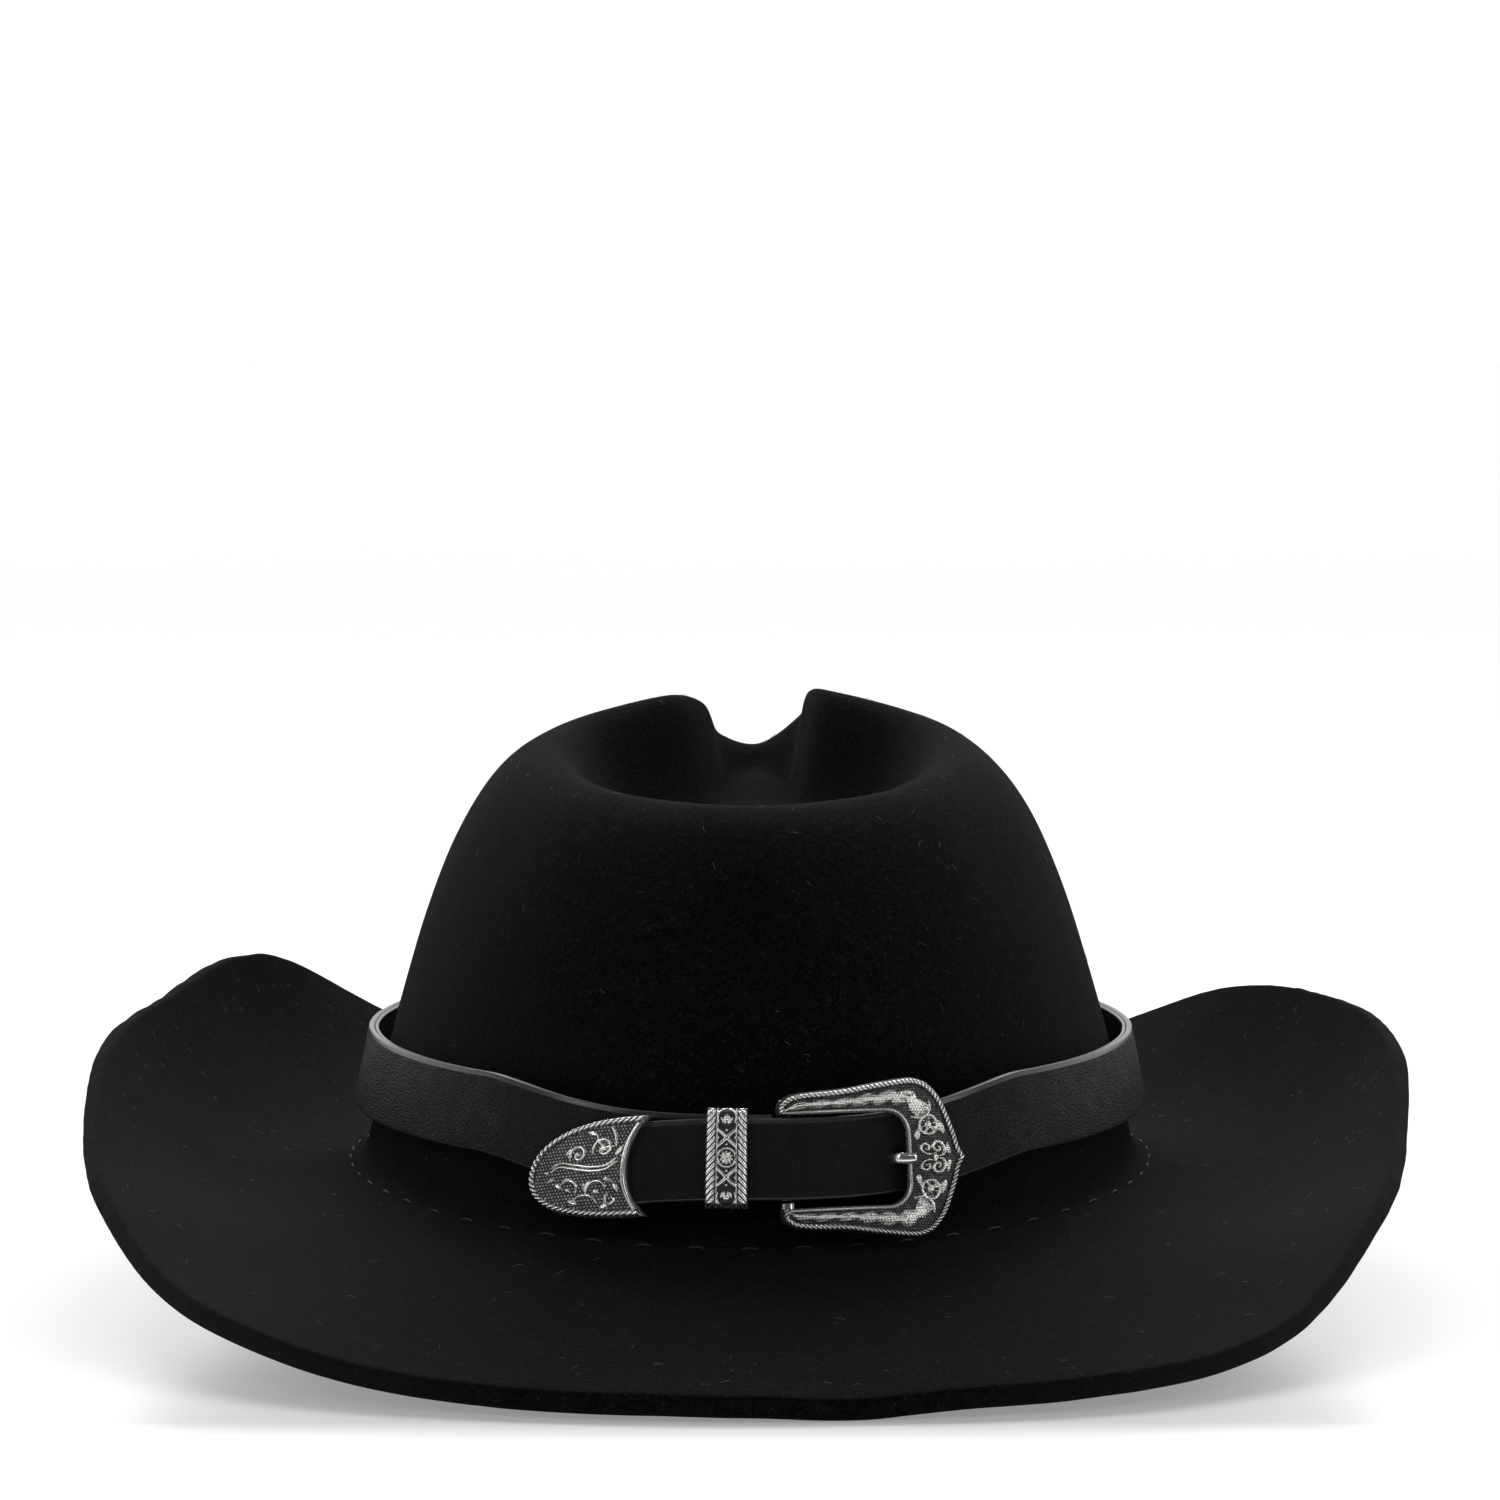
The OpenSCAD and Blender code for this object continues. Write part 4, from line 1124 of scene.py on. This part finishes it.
# ---------------------------------------------------------------- prong
def make_prong():
    """Bent prong: an eye round the heel bar, a shank, and a half round point on the closed end."""
    r = rest_x
    line = smooth_line([(1.2, 0.0), (6, 0.8), (12, 1.5), (r - 8.2, 3.4), (r - 5.8, 3.2), (r - 4.4, 1.6),
                        (r - 3.0, -2.0), (r - 1.9, -3.7), (r - 0.2, -4.4), (r + 1.4, -4.9)], 9)
    way = unit(np.gradient(line, axis=0))
    side = np.stack([way[:, 1], -way[:, 0]], 1)
    a = np.linspace(0, 360, 28, endpoint=False)
    s = np.linspace(0, 1, len(line))
    thick = 0.80 - 0.10 * ease((s - 0.85) / 0.15)
    wide = prong_w / 2 * (1 - 0.12 * ease((s - 0.9) / 0.1))
    across = np.sign(cosd(a)) * np.abs(cosd(a)) ** 0.75
    out = np.where(sind(a) > 0, np.abs(sind(a)) ** 0.9, -np.abs(sind(a)) ** 0.35 * 0.85)
    local = np.stack([line[:, None, 0] + side[:, None, 0] * out[None] * thick[:, None],
                      line[:, None, 1] + side[:, None, 1] * out[None] * thick[:, None],
                      strap_w / 2 + across[None] * wide[:, None]], -1)
    # the point is rounded off
    cap = []
    for k in range(1, 5):
        c, t = math.cos(k * math.pi / 10), math.sin(k * math.pi / 10)
        mid = local[-1].mean(0)
        shift = np.array([way[-1, 0], way[-1, 1], 0]) * 0.6 * t
        cap.append(mid + (local[-1] - mid) * c + shift)
    local = np.concatenate([local, np.array(cap)])
    body = closed_strip(on_curve(bar_angle, bar_r, local))
    turn = np.linspace(0, 360, 40, endpoint=False)
    low, high = (strap_w - prong_w) / 2, (strap_w + prong_w) / 2
    profile = box_profile(bar_d / 2 + bar_clear, eye_r, low, high, 0.2, 6, 4)
    loop = ring_mesh(on_curve(bar_angle, bar_r, around(profile, turn)))
    total = len(body[0]) + len(loop[0])
    obj = joined("prong_look", [body, loop], SILVER, patina=np.full(total, 0.72))
    place(obj, "prong", "prong")


make_prong()


# ---------------------------------------------------------------- keeper
def keeper_height(p, half_w, half_h):
    """Relief of the keeper's front: herringbone cords at both sides, leaves and ribbons between."""
    x, y = p[:, 0], p[:, 1]
    ax = np.abs(x)
    side_mid = half_w - 1.15
    slope = ((y / 1.5 + ax * 0.75) % 1.0)
    weave = np.abs(np.cos(math.pi * slope)) ** 0.8
    body = np.sqrt(np.clip(1 - ((ax - side_mid) / 1.1) ** 2, 0, 1))
    cord = body * (0.25 + 0.75 * weave)
    line = np.sqrt(np.clip(1 - ((ax - side_mid + 1.42) / 0.2) ** 2, 0, 1)) * 0.55
    q = np.stack([x, np.abs(y)], 1)
    # leaf rosette in a ring in the middle
    forms = [ring(q, 0, 0.0, 2.1, 0.28, 0.6)]
    forms += [leaf(q, 0, 0.0, a, 1.75, 0.42, 0.8) for a in (20, 55, 90, 125, 160)]
    # crossing ribbons above and below it
    for mirror in (1, -1):
        ribbon = smooth_line([(mirror * 2.5, 2.2), (mirror * 0.9, 3.6), (-mirror * 0.9, 5.4),
                              (-mirror * 2.5, 6.6)], 8)
        forms += [stroke(q, ribbon, 0.48, 0.85, 0.9),
                  stroke(q, arc(0, 9.0, 2.2, 90, 90 + mirror * 118), 0.3, 0.6, 0.8),
                  leaf(q, mirror * 0.2, 7.6, 90 - mirror * 38, 2.0, 0.5, 0.75),
                  berry(q, mirror * 2.05, 4.5, 0.36, 0.6)]
    forms += [berry(q, 0, *at) for at in ((3.0, 0.34, 0.6), (6.2, 0.34, 0.6), (9.0, 0.75, 0.8))]
    form = np.where(ax < side_mid - 1.45, np.max(forms, axis=0), 0)
    ground = 0.12 * stipple(p, 0.5)
    height = np.maximum(np.maximum(cord * 0.8, line), np.maximum(form, ground))
    polish = np.maximum(np.maximum(body * weave * 0.95, line), np.maximum(form * 1.15, 0.12 + ground))
    fade = ease((half_h - np.abs(y)) / 0.5)
    return height * fade, polish


def make_keeper():
    d0, d1 = -keeper_gap, lift + strap_t + keeper_gap + 0.4
    h0, h1 = -keeper_gap - 0.5, strap_w + end_step + keeper_gap
    t = keeper_t
    half_w, mid = keeper_len / 2, (h0 + h1) / 2
    half_h = (h1 - h0) / 2 + t
    x = np.linspace(-half_w, half_w, 96)
    y = np.linspace(-half_h, half_h, 220)
    X, Y = np.meshgrid(x, y, indexing="ij")
    height, polish = keeper_height(np.stack([X.ravel(), Y.ravel()], 1), half_w, half_h)
    height, polish = height.reshape(X.shape), polish.reshape(X.shape)
    turn_in = (1 - ease((half_h - np.abs(Y)) / 1.1)) * 0.9
    side_in = (1 - ease((half_w - np.abs(X)) / 0.45)) * 0.4
    front_d = d1 + t * 0.55 + 0.75 * (1 - (Y / half_h) ** 2) + 0.55 * height - turn_in - side_in
    k = 14
    back_y = np.linspace(half_h, -half_h, k)
    back = np.full((len(x), k), d0 - t)
    back[:, 0] += 0.3
    back[:, -1] += 0.3
    outer_d = np.concatenate([front_d, back], axis=1)
    outer_h = np.concatenate([Y, np.broadcast_to(back_y, (len(x), k))], axis=1) + mid
    inner = [(d1, h0), (d1, h1), (d0, h1), (d0, h0)]
    inner_line = even(np.array(inner + inner[:1], float), 61)[:-1]
    # the loop is an outer skin and an inner skin joined at both ends
    arc_a = -90 + keeper_angle + np.degrees(x / outer_r)
    skin = lambda d, h: conical(np.broadcast_to(arc_a[:, None], d.shape), d, h)
    outside = skin(outer_d, outer_h)
    d_in = np.broadcast_to(inner_line[None, :, 0], (len(x), len(inner_line)))
    h_in = np.broadcast_to(inner_line[None, :, 1], d_in.shape)
    inside = skin(d_in, h_in)
    n, m, w = len(x), outside.shape[1], inside.shape[1]
    faces = grid_faces(n, m, wrap_m=True).tolist()
    faces += grid_faces(n, w, wrap_m=True, start=n * m, flip=True).tolist()
    # end walls: each outer point is tied to the inner point nearest round the loop
    centre = np.array([(d0 + d1) / 2, mid])
    ang = lambda d, h: np.arctan2(h - centre[1], d - centre[0])
    for end in (0, n - 1):
        faces += bridge(ang(outer_d[end], outer_h[end]), ang(d_in[end], h_in[end]),
                        end * m, n * m + end * w, end == 0)
    outside_wear = np.concatenate([polish, np.full((n, k), 0.55)], axis=1)
    wear = np.concatenate([outside_wear.ravel(), np.full(n * w, 0.5)])
    obj = new_object("keeper_look", np.vstack([outside.reshape(-1, 3), inside.reshape(-1, 3)]), faces, SILVER,
                     patina=wear)
    place(obj, "keeper", "keeper")


def conical(a, d, h):
    """Point on the back cone at direction a, level with the strap's back height."""
    radius = loop_end_r + d * math.cos(lean) - h * math.sin(lean)
    return np.stack([radius * cosd(a), -loop_end_y + radius * sind(a),
                     strap_back_z + h * math.cos(lean) + d * math.sin(lean)], -1)


def bridge(outer_angles, inner_angles, outer_start, inner_start, flip):
    """Triangles between two closed rings, walking round both by angle."""
    m, w = len(outer_angles), len(inner_angles)
    oa, ia = np.unwrap(outer_angles), np.unwrap(inner_angles)
    if oa[-1] < oa[0]:
        raise ValueError("rings run clockwise")
    first = int(np.argmin(np.abs((inner_angles - outer_angles[0] + math.pi) % (2 * math.pi) - math.pi)))
    ia = np.unwrap(np.roll(inner_angles, -first))
    ia += 2 * math.pi * round((oa[0] - ia[0]) / (2 * math.pi))
    oa = np.append(oa, oa[0] + 2 * math.pi)
    ia = np.append(ia, ia[0] + 2 * math.pi)
    faces, i, k = [], 0, 0
    while i < m or k < w:
        o, q = outer_start + i % m, inner_start + (k + first) % w
        if k >= w or (i < m and oa[i + 1] <= ia[k + 1]):
            tri = [o, outer_start + (i + 1) % m, q]
            i += 1
        else:
            tri = [o, inner_start + (k + first + 1) % w, q]
            k += 1
        faces.append(tri[::-1] if flip else tri)
    return faces


make_keeper()


# ---------------------------------------------------------------- tip
tip_mid = tip_angle + math.degrees(tip_len / 2 / outer_r)


def tip_side(count):
    """Upper side of the tip's outline, from its point to the corner of its mouth."""
    s = np.linspace(0, 1, count)
    x = tip_len * 0.9 * s ** 1.7 - tip_len / 2
    y = tip_h / 2 * np.sin(np.radians(90 * s ** 0.8))
    return np.vstack([np.stack([x, y], 1), [(tip_len / 2 + 0.3, tip_h / 2)]])


def tip_mouth(count):
    k = np.linspace(1, -1, count)
    return np.stack([tip_len / 2 - 4.5 + 4.8 * np.abs(k) ** 2.2, tip_h / 2 * k], 1)


def tip_height(p, d_side, s_side, d_mouth):
    """Relief of the tip: rope along the curve, a plain rim at the mouth, scrolls on scaly ground."""
    cord, shine = rope(d_side - 0.82, s_side, 0.78, 1.45)
    rim = np.sqrt(np.clip(1 - ((d_mouth - 0.5) / 0.55) ** 2, 0, 1))
    ground = stipple(p, 0.85)
    stem = smooth_line([(-8.2, 0.2), (-6.2, 1.1), (-2.5, 0.4), (1.6, -0.4), (5.4, -0.3), (8.0, 1.2)], 10)
    high, top = 0.9, 0.95
    form = relief(p, ((spiral(-1.6, 3.5, -150, -1.25, 2.3, 0.5), 0.42, high),
                      (spiral(4.6, 4.4, 200, -1.15, 2.7, 0.6), 0.45, high),
                      (arc(2.2, 5.6, 5.4, -8, 74), 0.36, high), (arc(3.4, -5.2, 2.4, 20, 190), 0.38, high),
                      (arc(-3.6, -4.4, 2.2, -20, 150), 0.36, high),
                      (arc(6.2, 8.0, 3.4, 185, 290), 0.32, high),
                      (arc(0.6, -9.4, 3.6, 25, 150), 0.36, high),
                      (spiral(7.2, -7.2, 120, 0.9, 1.6, 0.4), 0.34, high)),
                  ((-7.4, -1.4, 200, 2.2, 0.5), (-7.0, -2.6, -35, 2.3, 0.5), (-5.4, -2.2, 10, 2.4, 0.55),
                   (0.2, -3.0, -70, 2.8, 0.6), (1.6, -2.6, -110, 2.6, 0.6), (5.0, -2.2, -20, 2.6, 0.6),
                   (7.6, -3.6, -60, 2.4, 0.55), (-1.0, -7.6, 160, 2.8, 0.6), (4.6, -9.0, 20, 3.2, 0.6),
                   (2.8, 7.8, 165, 3.0, 0.55), (7.6, 2.6, 50, 3.2, 0.6), (-5.0, 3.6, 40, 2.6, 0.5)),
                  ((4.6, 4.4, 0.75, top), (-1.6, 3.5, 0.55, top), (3.4, -5.2, 0.7, top),
                   (-3.6, -4.4, 0.6, top), (-9.6, 0.1, 0.45, top)))
    form = np.maximum(form, stroke(p, stem, 0.42, 1.0, 0.6))
    form = np.maximum(form, stroke(p, stem + [0.0, 0.95], 0.34, 0.9, 0.6))
    form = np.where((d_side > 1.9) & (d_mouth > 1.3), form, 0)
    inner = np.maximum(0.16 + 0.16 * ground, 0.16 + form * 0.75)
    height = np.where(d_side < 1.65, 0.15 + 0.95 * cord, np.where(d_mouth < 1.1, 0.2 + 0.4 * rim, inner))
    polish = np.where(d_side < 1.65, 0.04 + 0.9 * shine,
                      np.where(d_mouth < 1.1, 0.1 + 0.5 * rim, 0.06 + 0.34 * ground + form * 0.8))
    return height, polish


def wall_faces(ids):
    """Quads between the columns of an index table whose rows go round the outline."""
    follow = np.roll(ids, -1, axis=0)
    quads = [np.stack([ids[:, c], ids[:, c + 1], follow[:, c + 1], follow[:, c]], 1)[:, ::-1]
             for c in range(ids.shape[1] - 1)]
    return np.vstack(quads).tolist()


def make_tip():
    upper, mouth = even(tip_side(60), 330), even(tip_mouth(40), 200)
    lower = upper[::-1] * [1, -1]
    outline = np.vstack([upper[:-1], mouth[:-1], lower[:-1]])
    curve = np.vstack([lower[:-1], upper])
    n, m = len(outline), 76
    hub = np.array([-0.5, 0.0])
    f = (1 - np.linspace(0, 1, m)[:-1]) ** 1.25
    m = len(f)
    flat = hub + (outline - hub)[:, None] * f[None, :, None]
    p = flat.reshape(-1, 2)
    d_side, s_side = near(p, even(curve, 240))
    d_mouth, _ = near(p, even(mouth, 60))
    height, polish = tip_height(p, d_side, s_side, d_mouth)
    edge = ease(np.minimum(d_side, d_mouth) / 0.3)
    mid_dome = 0.5 * np.clip(1 - (p[:, 1] / (tip_h / 2)) ** 2, 0, 1)
    g = 0.45
    off = float(band_off(np.array([-90 + tip_mid]))[0]) + 0.2
    base = off + strap_t + g + tip_t - 0.75
    top = base + (0.85 * height + mid_dome) * edge - 0.3 * (1 - edge)
    a_mid = -90 + tip_mid

    def on_tip(q, d):
        a = a_mid + np.degrees(np.arcsin(q[..., 0] / outer_r))
        radius = loop_end_r + d * math.cos(lean) - (strap_w / 2 + q[..., 1]) * math.sin(lean)
        h = strap_w / 2 + q[..., 1] - tip_drop
        z = strap_back_z - free_droop * ((-90 - a) / 36) ** 2 + h * math.cos(lean) + d * math.sin(lean)
        return np.stack([radius * cosd(a), -loop_end_y + radius * sind(a), z], -1)

    front = on_tip(flat, top.reshape(n, m))
    hub_top = on_tip(hub[None], np.array([base + 1.0]))
    faces = grid_faces(n, m, wrap_n=True, flip=True).tolist()
    centre = n * m
    faces += [[centre, (j + 1) % n * m + m - 1, j * m + m - 1] for j in range(n)]
    # side walls down to the back rim of the sheath, and a back plate behind the front
    wall_rows = [np.full(n, v) for v in (base - 1.0, off + 0.6, off - 0.2)]
    walls = np.stack([on_tip(outline, d) for d in wall_rows], 1)
    start = n * m + 1
    w = walls.shape[1]
    ids = np.concatenate([(np.arange(n) * m)[:, None], start + np.arange(n * w).reshape(n, w)], axis=1)
    faces += wall_faces(ids)
    # the rim turns in behind the strap edges
    inner = hub + (outline - hub) * 0.93
    inset = np.stack([on_tip(inner, np.full(n, d)) for d in (off - 0.2, off + 0.6, base - 0.35)], 1)
    start2 = start + n * w
    ids2 = np.concatenate([ids[:, -1:], start2 + np.arange(n * 3).reshape(n, 3)], axis=1)
    faces += wall_faces(ids2)
    faces.append(ids2[:, -1].tolist())
    verts = np.vstack([front.reshape(-1, 3), hub_top, walls.reshape(-1, 3), inset.reshape(-1, 3)])
    wear = np.concatenate([polish, [0.4], np.full(n * w, 0.5), np.full(n * 3, 0.4)])
    obj = new_object("tip_cap_look", verts, faces, SILVER, patina=wear)
    place(obj, "hatband", "tip_cap")


make_tip()

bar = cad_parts["heel_bar"]
bar.data.materials.clear()
bar.data.materials.append(BAR)


# ---------------------------------------------------------------- floor, light and camera
def make_floor():
    """Pale glossy table top that mirrors the hat softly near it. It glows with painted light, strongly toward
    the camera so that it is plain white there, and weakly near the hat so that its reflection and the shade
    under the brim show.
    """
    m, tree, skin, where = material("white table")
    depth = add(tree, "ShaderNodeSeparateXYZ", {"Vector": where}).outputs["Y"]
    # painted light: the table glows, 0.75 toward the camera and 0.26 near the hat, so the floor by the near
    # brim edge is painted darker as shade
    fill(tree, skin, {"Base Color": ramp(tree, noise(tree, where, 3, 2), 0.3, 0.7, 0.46, 0.48),
                      "Roughness": 0.2, "IOR": 1.62, "Specular IOR Level": 0.5,
                      "Emission Color": span(tree, depth, -0.212, -0.186, 0.75, 0.26),
                      "Emission Strength": 1.0})
    low, below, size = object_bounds()[0].z / MM, 0.15, 6000.0
    line = np.linspace(-size, size, 9)
    grid = np.array([[(x, y, low - below) for y in line] for x in line])
    new_object("table", grid.reshape(-1, 3), grid_faces(9, 9, flip=True).tolist(), m)


def make_world():
    """White sweep behind and above, a dim room on the camera's side."""
    world = bpy.data.worlds.new("studio")
    bpy.context.scene.world = world
    world.use_nodes = True
    tree = world.node_tree
    way = add(tree, "ShaderNodeTexCoord").outputs["Generated"]
    split = add(tree, "ShaderNodeSeparateXYZ", {"Vector": way})
    side = span(tree, split.outputs["Y"], -0.35, 0.25)
    height = span(tree, split.outputs["Z"], 0.28, 0.62, 1.0, 0.16)
    sweep = calc(tree, "MULTIPLY", side, height)
    room = ramp(tree, sweep, 0.0, 1.0, (0.05, 0.05, 0.052), (1.25, 1.25, 1.25))
    ray = add(tree, "ShaderNodeLightPath").outputs["Is Camera Ray"]
    fill(tree, tree.nodes["Background"], {"Color": mix_color(tree, ray, room, (1.0, 1.0, 1.0)),
                                          "Strength": 1.05})


def area_light(name, place_m, aim_m, size_x, size_y, power):
    data = bpy.data.lights.new(name, "AREA")
    data.shape, data.size, data.size_y, data.energy = "RECTANGLE", size_x, size_y, power
    obj = bpy.data.objects.new(name, data)
    bpy.context.scene.collection.objects.link(obj)
    obj.location = place_m
    obj.rotation_euler = (Vector(aim_m) - Vector(place_m)).to_track_quat("-Z", "Y").to_euler()


def make_lights():
    middle = (0.0, 0.0, hat_top * MM / 2)
    area_light("soft top", (0.0, 0.75, 1.1), middle, 1.5, 0.6, 24)
    area_light("front box", (0.1, -1.5, 1.25), middle, 0.9, 0.45, 3)
    area_light("right strip", (1.35, -0.75, 0.75), middle, 0.35, 1.0, 4.5)
    area_light("left strip", (-1.25, -0.85, 0.85), middle, 0.3, 1.0, 4.5)


def make_camera():
    """Long lens a little above the brim, level with the middle of the crown's back."""
    distance, elevation, drop = 1.6, 10.0, 5.49
    data = bpy.data.cameras.new("camera")
    data.lens, data.sensor_width = 157.4, 36.0
    cam = bpy.data.objects.new("camera", data)
    bpy.context.scene.collection.objects.link(cam)
    e = math.radians(elevation)
    cam.location = (0.0, -distance * math.cos(e), distance * math.sin(e))
    cam.rotation_euler = (math.radians(90 - drop), 0.0, 0.0)
    bpy.context.scene.camera = cam


make_floor()
make_world()
make_lights()
make_camera()
scene = bpy.context.scene
scene.view_settings.view_transform = "Standard"
scene.view_settings.look = "None"
